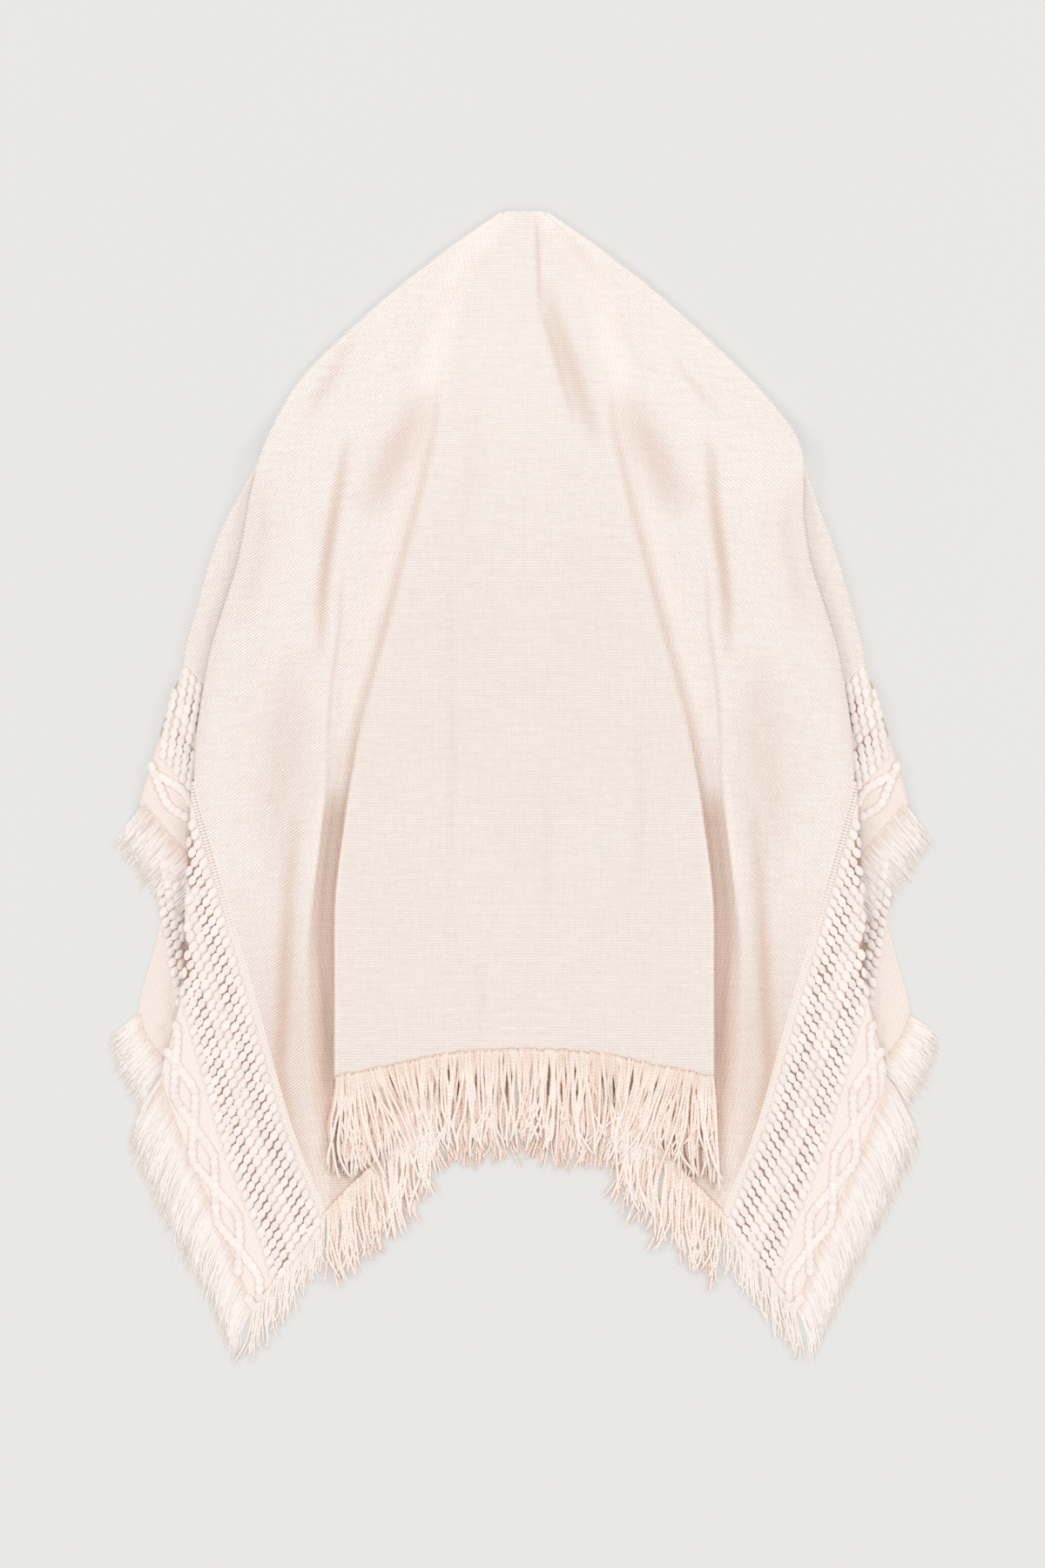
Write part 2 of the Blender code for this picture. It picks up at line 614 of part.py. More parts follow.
def side_fringes(side, word, back, border, selvedge, front, front_border, yarn, collection):
    """The fringes of one half of the garment."""
    hem = back[-1]
    border_hem = border[-1, : -EDGE_COLUMNS + 1]
    front_hem = spread(front[-1, : len(FRONT_SHARES)], np.linspace(0.0, 0.78, 9))
    strip_end = front_border[2 * STRIP_END, 3 + FOLD_STEPS :]
    corner = front_border[2 * SIDE_CORNER[0] : 2 * SIDE_CORNER[1] + 1, 3]
    first_tuck = PLEAT_FIRST + FOLD_STEPS
    last_tuck = PLEAT_FIRST + 2 * FOLD_STEPS + 1
    down = (0.0, 1.0)
    fringes = (
        # name, hem line, strands, fall at its two ends, length, tip height
        ("pleat_fringe", hem[first_tuck : first_tuck + 2], 7, (down, down), (66, 60), (5.4, 5.2)),
        ("drape_fringe", hem[last_tuck:-TURNED_FACES], 12, (down, down), (72, 78), (3.4, 2.4)),
        ("border_fringe", border_hem, 10, ((0.04, 1.0), (0.1, 1.0)), (62, 70), (1.6, 1.2)),
        ("side_fringe", selvedge, 20, ((0.55, 0.84), (0.2, 0.98)), (46, 70), (1.2, 1.2)),
        ("shoulder_fringe", strip_end, 7, ((0.75, 0.66), (0.66, 0.75)), (26, 56), (3.6, 3.6)),
        ("front_side_fringe", corner, 6, ((0.8, 0.6), (0.8, 0.6)), (26, 52), (1.2, 1.2)),
        ("front_hem_fringe", front_hem, 12, (down, down), (70, 72), (1.1, 1.1)),
    )
    for name, root, count, fall, length, tip in fringes:
        make_fringe(f"{name}_{word}", side, root, count, fall, length, tip, yarn, collection)


def centre_fringe(back, yarn, collection):
    """The long fringe of the centre panel, in three stretches on each half."""
    half = back[-1, : PLEAT_FIRST + 1]
    down = (0.0, 1.0)
    middle = np.concatenate([half[2::-1], half[1:3] * (-1, 1, 1)])
    make_fringe(
        "centre_fringe_middle", LEFT, middle, 12, (down, down), (92, 92), (4.2, 4.2), yarn, collection
    )
    for side, word in SIDES:
        make_fringe(
            f"centre_fringe_{word}", side, half[2:], 12, (down, (-0.1, 1.0)), (94, 98), (9.2, 9.2),
            yarn, collection,
        )


# ---- assembly -----------------------------------------------------------------------
def make_material(name, colour):
    """A soft matt yarn colour."""
    material = bpy.data.materials.new(name)
    material.use_nodes = True
    shader = material.node_tree.nodes["Principled BSDF"]
    shader.inputs["Base Color"].default_value = colour
    shader.inputs["Roughness"].default_value = 0.85
    shader.inputs["Metallic"].default_value = 0.0
    return material


def main():
    for item in list(bpy.data.objects):
        bpy.data.objects.remove(item, do_unlink=True)
    collection = bpy.data.collections.new("kimono_cardigan")
    bpy.context.scene.collection.children.link(collection)
    plain = make_material("cream_knit", CREAM)
    patterned = make_material("patterned_border", PALE_CREAM)
    yarn = make_material("fringe_yarn", YARN)

    back, back_keep = back_half()
    border, border_keep, border_raised, selvedge = border_half(back)
    front, front_keep, front_boundary = front_half()
    front_border, front_border_keep, front_border_raised = front_border_half(front_boundary)

    make_back(back, back_keep, plain, collection)
    for side, word in SIDES:
        make_wall(
            f"back_border_{word}", side, border, border_keep, patterned, collection,
            outer=-side, raised=border_raised,
        )
        make_wall(f"front_{word}", side, front, front_keep, plain, collection)
        make_wall(
            f"front_border_{word}", side, front_border, front_border_keep, patterned, collection,
            outer=side, raised=front_border_raised,
        )
        side_fringes(side, word, back, border, selvedge, front, front_border, yarn, collection)
    centre_fringe(back, yarn, collection)


main()
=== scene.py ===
"""Looks of the knitted kimono cardigan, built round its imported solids.

Each cloth piece is a thin shell on the same sections as its solid, drawn finer, with the
soft creases of the photographed garment. The bobbles, cables and fringes are meshes; the
weave, the ladder row and the twist of the cords are in the materials.

Sizes are in millimetres unless a name says otherwise. A place is given by its distance out
from the centre line, its distance down from the back neck and its height.
"""

import math
from collections import namedtuple

import bpy
import numpy as np
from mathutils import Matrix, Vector
from mathutils.bvhtree import BVHTree


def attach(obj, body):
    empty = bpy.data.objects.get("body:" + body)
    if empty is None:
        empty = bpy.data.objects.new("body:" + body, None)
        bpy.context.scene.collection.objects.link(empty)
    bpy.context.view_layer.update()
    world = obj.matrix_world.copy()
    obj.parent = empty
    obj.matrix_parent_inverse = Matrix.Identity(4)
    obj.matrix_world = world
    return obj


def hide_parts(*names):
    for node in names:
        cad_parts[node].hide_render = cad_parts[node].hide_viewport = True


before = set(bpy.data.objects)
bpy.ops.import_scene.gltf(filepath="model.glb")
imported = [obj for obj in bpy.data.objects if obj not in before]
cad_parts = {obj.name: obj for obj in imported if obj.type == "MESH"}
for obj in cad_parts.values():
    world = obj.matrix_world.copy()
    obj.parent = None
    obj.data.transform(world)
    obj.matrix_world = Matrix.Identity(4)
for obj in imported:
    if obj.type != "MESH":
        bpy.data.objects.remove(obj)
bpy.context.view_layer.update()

MM = 0.001
TOTAL_DROP = 1165.0
LEFT, RIGHT = -1, 1
SIDES = ((LEFT, "left"), (RIGHT, "right"))
rng = np.random.default_rng(11)

# ---- the cloth's sizes, as in the solids ----
WALL = 2.0
CLOTH = 1.8  # thickness of the shells
FLOOR_CLEARANCE = 0.05
SEAM = 0.02
FRONT_LEVEL = WALL / 2
OPEN_EDGE = 10.5
ROLL_RADIUS = 2.6
ROLL_LIP = 1.5
FRONT_INSET = WALL / 2 + ROLL_RADIUS + ROLL_LIP + SEAM
SHOULDER_FULLNESS = 16.0
SHOULDER_DOWN = 232.0
SHOULDER_SPAN = 50.0
FULLNESS_FROM = 120.0
FULLNESS_TO = 250.0

FOLD_STEPS = 7  # faces round a fold
FOLD_ANGLES = [math.pi * step / FOLD_STEPS for step in range(FOLD_STEPS + 1)]
ROW_STEP = 10.6
COLUMN_STEP = 3.2
BORDER_COLUMNS = 28
FRONT_COLUMNS = 34
FRONT_BORDER_COLUMNS = 16
STRIP_COLUMNS = 14
RELIEF_FROM = 3.6  # heights above this are raised by the factor below
RELIEF = 1.6
LEAST_HEIGHT = 3.2  # no crease presses cloth on top lower than this

# Sections across the left half of the back, neck to hem: centre line, pleat crease, valley,
# ridge of the drape, middle of the drape, and edge, each (out, down, height).
BACK_SECTIONS = (
    ((0, 0, 3.8), (10, 0, 3.8), (12, 0, 3.8), (15, 0, 3.9), (18, 0, 4.2), (24, 0, 5.2)),
    ((0, 45, 4.6), (50, 52, 4.6), (58, 54, 4.3), (66, 58, 4.4), (78, 60, 4.4), (94, 50, 6.0)),
    ((0, 82, 5.0), (66, 92, 5.4), (78, 96, 4.5), (112, 112, 5.6), (140, 121, 4.8), (165, 109, 6.2)),
    ((0, 125, 5.4), (76, 135, 6.6), (95, 141, 4.4), (158, 165, 7.6), (200, 185, 5.4), (234, 181, 6.2)),
    ((0, 184, 5.4), (83, 194, 7.8), (104, 200, 5.8), (180, 221, 9.0), (225, 240, 7.0), (266, 249, 13.4)),
    ((0, 212, 5.2), (87, 223, 9.0), (110, 231, 5.8), (182, 247, 9.6), (228, 266, 7.0), (274, 282, 13.2)),
    ((0, 277, 5.2), (103, 290, 10.0), (121, 297, 5.6), (186, 310, 10.2), (235, 328, 7.0), (286, 347, 13.0)),
    ((0, 391, 5.6), (132, 404, 10.8), (147, 410, 5.2), (192, 419, 10.8), (257, 436, 7.0), (317, 452, 13.0)),
    ((0, 487, 6.0), (158, 498, 11.2), (170, 505, 5.6), (196, 512, 11.2), (266, 527, 7.2), (330, 540, 13.0)),
    ((0, 531, 6.2), (168, 540, 11.6), (181, 547, 5.2), (199, 550, 11.2), (266, 562, 8.0), (331, 572, 13.0)),
    ((0, 605, 6.4), (182, 614, 11.6), (192, 623, 3.8), (208, 638, 11.2), (254, 662, 9.4), (301, 678, 10.4)),
    ((0, 697, 6.6), (192, 713, 11.6), (199, 734, 3.6), (219, 742, 9.6), (249, 765, 8.4), (270, 785, 8.0)),
    ((0, 784, 6.8), (192, 806, 11.6), (173, 885, 3.6), (205, 900, 4.6), (219, 909, 4.8), (233, 918, 5.0)),
    ((0, 843, 6.8), (192, 870, 11.6), (144, 949, 3.6), (180, 986, 3.2), (189, 996, 3.1), (198, 1005, 3.0)),
)
CREASE_COLUMN, EDGE_COLUMN = 1, 5
# For each section, how far the cloth hidden in the pleat runs out, or in where below 0, and
# how far down it ends.
PLEAT_RUNS = (
    (0.5, 0), (4, 53), (9, 94), (13, 138), (15, 197), (16, 226), (15, 293),
    (12, 408), (7, 503), (3, 547), (-18, 623), (-58, 725), (-86, 825), (-97, 894),
)
# For each section, the radius of its turned edge and how far the cloth goes on under it.
EDGE_RADIUS = (2.1, 2.4, 2.6, 2.6) + (2,) * 10
EDGE_RETURN = (1.5,) * 4 + (6, 12) + (15,) * 8
LADDER_START = 9  # the section from which the back ends at its ladder row
PLEAT_CLEARANCE = 18.0
LEAST_FOLD_RADIUS = 1.5
FORMED_TURN = math.radians(60)
FULLY_HIDDEN = 10.0
GUARD_SHARE = 0.62
GUARD_DROP = 1.1
EDGE_SHAPE = 1.6

# Outer edge of a back border: (section, out, down, height, fold radius, return).
BORDER_EDGE = (
    (9.0, 334.0, 572, 13.0, 2.0, 15),
    (9.5, 336, 630, 13.0, 2.0, 15),
    (10.0, 340, 695, 12.4, 2.0, 15),
    (10.5, 341, 760, 9.6, 2.0, 14),
    (11.0, 356, 835, 7.2, 1.9, 10),
    (11.3333, 364, 866, 6.6, 1.7, 6),
    (11.6667, 349, 917, 2.6, 1.7, 6),
    (12.0, 326, 974, 1.2, 1.7, 6),
    (12.5, 300, 1032, 1.0, 1.7, 6),
    (13.0, 273, 1104, 1.0, 1.7, 6),
)
FOLD_END = 11.34

# Sections of a front: down at the open edge, outline or ladder row (out, down), and the
# hidden end of the strip that wraps over the outline.
FRONT_SECTIONS = (
    (2, (24, 0), None),
    (30, (94, 50), None),
    (75, (165, 109), None),
    (140, (234, 181), None),
    (215, (266, 249), (240, 262)),
    (250, (283, 278), (245, 296)),
    (305, (309, 330), (258, 350)),
    (370, (330, 400), (275, 425)),
    (430, (342, 452), (296, 500)),
    (480, (317, 508), None),
    (530, (298, 555), None),
    (575, (284, 598), None),
    (625, (272, 640), None),
    (665, (264, 672), None),
    (720, (257, 725), None),
    (800, (249, 800), None),
    (850, (243, 850), None),
    (891, (238, 891), None),
)
WRAP_START = 4
WRAP_END = 8
# Sections of a front's border, from WRAP_END down: outline, and the strip's hidden end.
FRONT_BORDER = (
    ((342, 452.0), (296, 500)),
    ((359, 503), (300, 560)),
    ((374, 552), (306, 620)),
    ((386, 596), (312, 678)),
    ((372, 632), None),
    ((365, 672), None),
    ((366, 715), None),
    ((387, 806), None),
    ((358, 861), None),
    ((345, 891), None),
)
STRIP_END = 3
SIDE_CORNER = (7, 8)  # the sections between which the front's side fringe hangs

# ---- soft creases ----
# Each is a line of (out, down) places, how wide it is, how high, below 0 for a trough, and
# how much painted warm shade it takes. The first group lies on both halves.
BOTH_CREASES = (
    (((96, 176), (128, 240), (160, 310)), 17, -3.2, 0.46),
    (((176, 222), (188, 290), (197, 340), (202, 380), (205, 450)), 6.5, -3.6, 0.66),
    (((181, 343), (185, 417), (194, 483), (198, 575), (202, 600)), 2.8, -0.9, 0.3),
    (((228, 600), (236, 680), (240, 750), (242, 800), (246, 858), (234, 924), (212, 985)), 8, -2.6, 0.55),
    (((222, 470), (220, 560), (225, 640)), 14, -1.6, 0.12),
    (((216, 640), (220, 700), (226, 770), (236, 850)), 6, 1.6, 0.0),
    (((98, 60), (140, 130), (172, 205)), 14, 1.6, 0.0),
    (((40, 38), (86, 98), (128, 170)), 9, -1.2, 0.1),
    (((256, 262), (262, 330), (280, 420)), 10, -2.0, 0.2),
    (((300, 480), (303, 560), (292, 640)), 12, 1.2, 0.0),
    (((230, 430), (243, 510), (248, 590), (243, 690)), 22, -1.8, 0.27),
)
OWN_CREASES = {
    LEFT: (
        (((168, 120), (190, 160), (222, 214)), 8, -1.2, 0.3),
        (((75, 365), (72, 550), (76, 732)), 6, -1.0, 0.1),
        (((44, 740), (42, 790), (45, 838)), 5, -1.0, 0.1),
        (((108, 470), (118, 590), (122, 700)), 9, 0.8, 0.0),
        (((60, 150), (52, 240), (62, 330)), 12, -0.9, 0.08),
    ),
    RIGHT: (
        (((12, 0), (14, 50), (15, 96)), 3, -1.5, 0.4),
        (((18, 66), (36, 125), (52, 170), (66, 212), (73, 238)), 10, -4.2, 0.44),
        (((14, 92), (27, 130), (40, 176), (52, 214)), 4, -1.2, 0.3),
        (((48, 60), (84, 132), (104, 200)), 15, 2.4, 0.0),
        (((28, 14), (58, 44), (86, 78)), 7, -1.0, 0.25),
        (((145, 142), (168, 174), (194, 210)), 5, -1.0, 0.2),
        (((20, 543), (22, 650), (18, 763)), 6, -0.9, 0.08),
        (((114, 510), (116, 600), (110, 690)), 7, -1.0, 0.1),
        (((62, 690), (60, 770), (66, 838)), 8, 0.7, 0.0),
    ),
}
WAVE_SHIFT = {LEFT: 0, RIGHT: 130}  # so that the two halves don't wave alike
# Outer end of the pleat's deep floor, beside the drape's ridge, where its painted shade ends: (down, out).
FLOOR_EDGE = (
    (580, 200), (592, 201), (638, 207), (700, 214), (742, 220), (830, 220), (900, 214), (1000, 190),
)

# ---- patterned border ----
# The ladder row's ends on the back, on the strip and on the front's border, as (out, down).
LADDER = ((331.0, 572.0), (198.0, 1005.0))
STRIP_LADDER = ((342.0, 452.0), (290.0, 512.0))
FRONT_LADDER = ((372.0, 640.0), (345.0, 800.0))
FRONT_BAND_OFFSET = 65.0  # how far out in the pattern the front's own ladder line is
BOBBLE_LINES = (12.8, 20.6, 28.4, 36.6, 45.4, 53.8, 61.4, 68.8)  # out from the ladder
STRIP_BOBBLE_LINES = (5.0,) + BOBBLE_LINES + (76.2,)
FRONT_BOBBLE_LINES = (-16.0, -8.0, 0.0)
# Where the bobbles and cables start and end, along each border.
BACK_RUN = (-120, 640)
STRIP_RUN = (-120, 260)
FRONT_RUN = (0, 170)
BOBBLE_SIZES = (1.0, 0.96, 0.95, 1.03, 1.03, 0.95, 0.96, 1.0)
BOBBLE_HALF = np.array((6.4, 4.4, 2.0))  # half its length, width and height
BOBBLE_PITCH = 10.2
BOBBLE_TILT = 0.7  # the turn of their long axis from the border's own direction
BOBBLE_SLANT = 3.9  # each line of bobbles lies this much further up than the last
BOBBLE_SIDES = 11
CABLE_MIDDLE = 95.0
CABLE_SWING = 10.5
CABLE_PITCH = 132.0
CABLE_SHARPNESS = 0.97  # toward 1 the cables run straight between their turns
CABLE_SIDES = 10
BEAD_STEP = 7.8
BEAD_RINGS = 5
BEAD_RISE = 0.5  # how high a bead's middle lies over the cloth
STEEPEST = 0.3  # no bead lies where the cloth's normal rises less than this
POINTEDNESS = 0.15  # how much the beads narrow toward their ends


# ---- numbers and curves ----
def fade(value, start, end):
    """0 up to start, 1 past end and even between them. start may be the higher of the two."""
    return np.clip((value - start) / (end - start), 0, 1)


def bell(distance, width):
    """1 at no distance, falling smoothly to nothing beyond the width."""
    return np.exp(-((distance / width) ** 2))


def toward(start, end, share):
    """The place that is a share of the way from start to end."""
    return start + (end - start) * share


def unit(vectors):
    """Vectors of the same directions with a length of 1."""
    return vectors / np.maximum(np.linalg.norm(vectors, axis=-1, keepdims=True), 1e-9)


def lengths_along(points, axis=0):
    """How far along its line each point lies, where the points follow each other on axis."""
    steps = np.linalg.norm(np.diff(points, axis=axis), axis=-1)
    return np.insert(np.cumsum(steps, axis=axis), 0, 0.0, axis=axis)


def last_row(rows, place):
    """Number of the last row at or before a place."""
    return int(np.flatnonzero(rows <= place)[-1])


def smooth(values, places, knots=None):
    """Read rows of numbers at fractional row numbers, with no overshoot between rows.

    knots are the rows' own places, 0, 1, 2 and so on where none are given.
    """
    values = np.asarray(values, dtype=float)
    knots = np.arange(len(values)) if knots is None else np.asarray(knots, dtype=float)
    places = np.clip(np.asarray(places, dtype=float), knots[0], knots[-1])
    shape = (-1,) + (1,) * (values.ndim - 1)
    widths = np.diff(knots).reshape(shape)
    steps = np.diff(values, axis=0) / widths
    before, after = steps[:-1], steps[1:]
    total = before * widths[1:] + after * widths[:-1]
    joined = before * after * (widths[1:] + widths[:-1])
    inner = np.where(before * after > 0, joined / np.where(total == 0, 1, total), 0)
    slopes = np.concatenate([steps[:1], inner, steps[-1:]])
    low = np.clip(np.searchsorted(knots, places, side="right") - 1, 0, len(values) - 2)
    width = widths[low]
    t = (places - knots[low]).reshape(shape) / width
    bend = slopes[low] * t * (1 - t) ** 2 - slopes[low + 1] * t * t * (1 - t)
    return toward(values[low], values[low + 1], t * t * (3 - 2 * t)) + bend * width


def spread(points, fractions):
    """Points of a polyline at fractions of its length."""
    along = lengths_along(points)
    wanted = np.asarray(fractions) * along[-1]
    return np.stack([np.interp(wanted, along, column) for column in points.T], axis=1)


def inward(edge):
    """Unit directions in the plane, square to an edge that runs down, toward the centre."""
    along = unit(np.gradient(edge[:, :2], axis=0))
    return np.stack([-along[:, 1], along[:, 0]], axis=1)


def turned_edge(edge, heights, radii, returns, last):
    """Columns of cloth that turns under at its edge, down to row number last."""
    direction = np.zeros_like(edge)
    direction[: last + 1] = inward(edge[: last + 1])
    radii = np.where(np.arange(len(edge)) > last, 0, radii)
    turns = [(radii * (1 - math.sin(angle)), radii * (1 - math.cos(angle))) for angle in FOLD_ANGLES]
    turns += [(radii + returns * share, 2 * radii) for share in (0.5, 1.0)]
    return [
        np.column_stack([edge + direction * (WALL / 2 + inset)[:, None], heights - drop])
        for inset, drop in turns
    ]


def close_rows(features):
    """Fractional row numbers that lie about ROW_STEP apart, each whole number among them."""
    lengths = np.linalg.norm(np.diff(features[..., :2], axis=0), axis=-1)
    counts = np.ceil(lengths.max(axis=1) / ROW_STEP).astype(int)
    parts = [index + np.arange(count) / count for index, count in enumerate(counts)]
    return np.concatenate(parts + [[len(features) - 1.0]])


def close_columns(columns):
    """A surface through a few columns, with more between them, smooth across."""
    stack = np.stack(columns)
    gaps = np.linalg.norm(np.diff(stack, axis=0), axis=2)
    knots = np.concatenate([[0], np.cumsum(gaps.mean(axis=1))])
    places = [
        toward(knots[index], knots[index + 1], np.arange(count) / count)
        for index, count in enumerate(np.ceil(gaps.max(axis=1) / COLUMN_STEP).astype(int))
    ]
    return list(smooth(stack, np.concatenate(places + [knots[-1:]]), knots))


def grid(columns):
    """The places of a piece in rows and columns, and marks for its kept faces, so far all."""
    points = np.stack(columns, axis=1)
    return points, np.ones((len(points) - 1, len(columns) - 1), dtype=bool)


def rounded(share):
    """Shares of the way out, down and in height, across cloth that falls toward its edge."""
    return share, share, 1 - (1 - share) ** EDGE_SHAPE


# ---- the back's surface ----
BACK_TABLE = np.array(BACK_SECTIONS, dtype=float)
BACK_ROWS = close_rows(BACK_TABLE)


def column_out(column, down):
    """How far out a column of the back's table is at each distance down."""
    return np.interp(down, BACK_TABLE[:, column, 1], BACK_TABLE[:, column, 0])


def pleat_columns(crease, valley, run, tuck_down):
    """Columns of the inverted pleat, from its outer crease to its end beside the valley."""
    fall = crease[:, 2] - valley[:, 2]
    radius = np.maximum(fall / 4, LEAST_FOLD_RADIUS)
    spare = np.maximum(4 * radius - fall, 1e-6)
    sloping = np.maximum(run, 0)
    turn = 2 * np.arctan2(fall, sloping + np.sqrt(sloping**2 + spare * fall))
    turn = np.where(run > 0, turn, math.pi)
    top = crease[:, 0] - (WALL / 2 + radius) * (1 - np.cos(turn)) / 2
    columns = []
    for step in range(FOLD_STEPS + 1):
        angle = turn * step / FOLD_STEPS
        out = top + radius * np.sin(angle)
        height = crease[:, 2] - radius * (1 - np.cos(angle))
        columns.append(np.column_stack([out, crease[:, 1], height]))
    bend = columns[-1][:, (0, 2)]
    foot = bend + np.abs(run)[:, None] * np.column_stack([np.cos(turn), -np.sin(turn)])
    for share in (0.25, 0.5, 0.75):
        middle = toward(bend, foot, share)
        down = toward(crease[:, 1], tuck_down, share)
        columns.append(np.column_stack([middle[:, 0], down, middle[:, 1]]))
    for step in range(FOLD_STEPS + 1):
        angle = turn * (1 - step / FOLD_STEPS)
        out = foot[:, 0] + radius * (np.sin(turn) - np.sin(angle))
        height = foot[:, 1] - radius * (np.cos(angle) - np.cos(turn))
        columns.append(np.column_stack([out, tuck_down, height]))
    formed = fade(turn, 0, FORMED_TURN)[:, None]
    evens = [toward(crease, valley, index / len(columns)) for index in range(len(columns))]
    return [toward(even, column, formed) for even, column in zip(evens, columns)]


def centre_columns(centre, crease, top, run):
    """Columns from the centre line to the pleat, kept above the pleat's hidden layers."""
    hidden = fade(-run, 0, FULLY_HIDDEN)
    guard_out = crease[:, 0] * GUARD_SHARE
    clear_out = np.minimum(guard_out, top[:, 0] + run - PLEAT_CLEARANCE)
    guard_out = toward(guard_out, clear_out, hidden)
    open_height = toward(centre[:, 2], crease[:, 2], GUARD_SHARE)
    guard_height = toward(open_height, crease[:, 2] - GUARD_DROP, hidden)
    columns = []
    for share in (0.0, 0.5, 1.0):
        out = guard_out * share
        down = toward(centre[:, 1], crease[:, 1], (out / crease[:, 0]) ** 2)
        height = toward(centre[:, 2], guard_height, share**1.5)
        columns.append(np.column_stack([out, down, height]))
    return columns + [toward(columns[-1], top, 0.5), top]


def back_half():
    """The left half of the back: columns of places, its kept faces, how far each column is
    hidden in the pleat, and the number of faces in its turned edge."""
    centre, crease, valley, ridge, drape, edge = (
        smooth(BACK_TABLE[:, column], BACK_ROWS) for column in range(BACK_TABLE.shape[1])
    )
    run, tuck_down = smooth(PLEAT_RUNS, BACK_ROWS).T
    pleat = pleat_columns(crease, valley, run, tuck_down)
    fold_end = last_row(BACK_ROWS, LADDER_START)
    radii, returns = smooth(EDGE_RADIUS, BACK_ROWS), smooth(EDGE_RETURN, BACK_ROWS)
    turned = turned_edge(edge[:, :2], edge[:, 2], radii, returns, fold_end)
    side = [pleat[-1], valley, toward(valley, ridge, (0.6, 0.6, 0.55)), ridge]
    side += [toward(ridge, drape, (0.5, 0.5, 0.62)), drape]
    side += [toward(drape, turned[0], rounded(share)) for share in (0.35, 0.68, 0.88, 1.0)]

    middle = close_columns(centre_columns(centre, crease, pleat[0], run))
    columns = middle + pleat[1:-1] + close_columns(side) + turned[1:]
    hidden = np.zeros(len(columns))
    hidden[len(middle) : len(middle) + len(pleat) - 2] = 1
    turned_faces = len(turned) - 1
    points, keep = grid(columns)
    keep[fold_end:, -turned_faces:] = False
    return points, keep, hidden, turned_faces


def border_half(back, turned_faces):
    """A back border on the left: its places, its kept faces, from the ladder row outward, and
    the row from which its selvedge lies flat."""
    below = BACK_ROWS >= LADDER_START
    rows = BACK_ROWS[below]
    seam = back[below][:, -turned_faces - 1]
    table = np.array(BORDER_EDGE)
    places = np.interp(rows, table[:, 0], np.arange(len(table)))
    out, down, height, radii, returns = smooth(table[:, 1:], places).T
    fold_end = last_row(rows, FOLD_END)
    turned = turned_edge(np.column_stack([out, down]), height, radii, returns, fold_end)
    start = seam.copy()
    start[:, :2] -= inward(seam) * SEAM
    start[0] = seam[0] + (SEAM, SEAM, 0)
    lying = [toward(start, turned[0], rounded(share)) for share in np.linspace(0, 1, BORDER_COLUMNS)]
    points, keep = grid(lying + turned[1:])
    keep[fold_end:, -turned_faces:] = False
    return points, keep, fold_end


# ---- the fronts' surface ----
FRONT_ROWS = close_rows(
    np.array([((OPEN_EDGE, down), outline) for down, outline, _ in FRONT_SECTIONS], dtype=float)
)


def flat(plan):
    """Places in the plane, at the level of a front that lies on the floor."""
    return np.column_stack([plan, np.full(len(plan), FRONT_LEVEL)])


def wrap_columns(outline, hidden_end):
    """Columns from the floor round the outline to the hidden end of the strip on top."""
    direction = inward(outline)
    columns = []
    for angle in FOLD_ANGLES:
        inset = WALL / 2 + ROLL_RADIUS * (1 - math.sin(angle))
        rise = ROLL_RADIUS * (1 - math.cos(angle))
        columns.append(flat(outline + direction * inset) + (0, 0, rise))
    top = columns[-1]
    end = np.column_stack([hidden_end, top[:, 2]])
    return columns + [toward(top, end, step / STRIP_COLUMNS) for step in range(1, STRIP_COLUMNS + 1)]


def fill_hidden(ends):
    """Give sections with no strip the end of the nearest one, for faces that are dropped."""
    known = [index for index, end in enumerate(ends) if end]
    nearest = [min(known, key=lambda place: abs(place - index)) for index in range(len(ends))]
    return [ends[index] for index in nearest]


def front_half():
    """The left front: its places, kept faces and the edge that meets the border."""
    rows = FRONT_ROWS
    open_downs, outlines, ends = zip(*FRONT_SECTIONS)
    outline = smooth(outlines, rows)
    boundary = outline + inward(outline) * FRONT_INSET * fade(rows, WRAP_END + 0.5, WRAP_END)[:, None]
    open_edge = np.column_stack([np.full(len(rows), OPEN_EDGE), smooth(open_downs, rows)])
    columns = [flat(toward(open_edge, boundary, share)) for share in np.linspace(0, 1, FRONT_COLUMNS)]
    columns += wrap_columns(outline, smooth(fill_hidden(ends), rows))
    points, keep = grid(columns)
    wrapped = (rows[:-1] >= WRAP_START) & (rows[1:] <= WRAP_END)
    keep[~wrapped, FRONT_COLUMNS - 1 :] = False
    return points, keep, boundary


def front_border_half(front_boundary, front_end):
    """The left front's border: its places, kept faces and rows. front_end is the row of the
    front's own strip that it goes on from."""
    below = FRONT_ROWS >= WRAP_END
    rows = FRONT_ROWS[below] - WRAP_END
    seam = front_boundary[below]
    outlines, ends = zip(*FRONT_BORDER)
    outline, hidden = smooth(outlines, rows), smooth(fill_hidden(ends), rows)
    outline[0, 1] += SEAM
    hidden[0, 1] += SEAM
    start = seam - inward(seam) * SEAM
    start[0] = seam[0] + (SEAM, SEAM)
    wrap = wrap_columns(outline, hidden)
    unwrapped = rows > STRIP_END
    wrap[0][unwrapped, :2] = outline[unwrapped]
    lying = FRONT_BORDER_COLUMNS
    columns = [flat(toward(start, wrap[0][:, :2], step / lying)) for step in range(lying)]
    points, keep = grid(columns + wrap)
    points[0, lying:] = front_end + (0, SEAM, 0)
    keep[rows[1:] > STRIP_END, lying:] = False
    return points, keep, rows


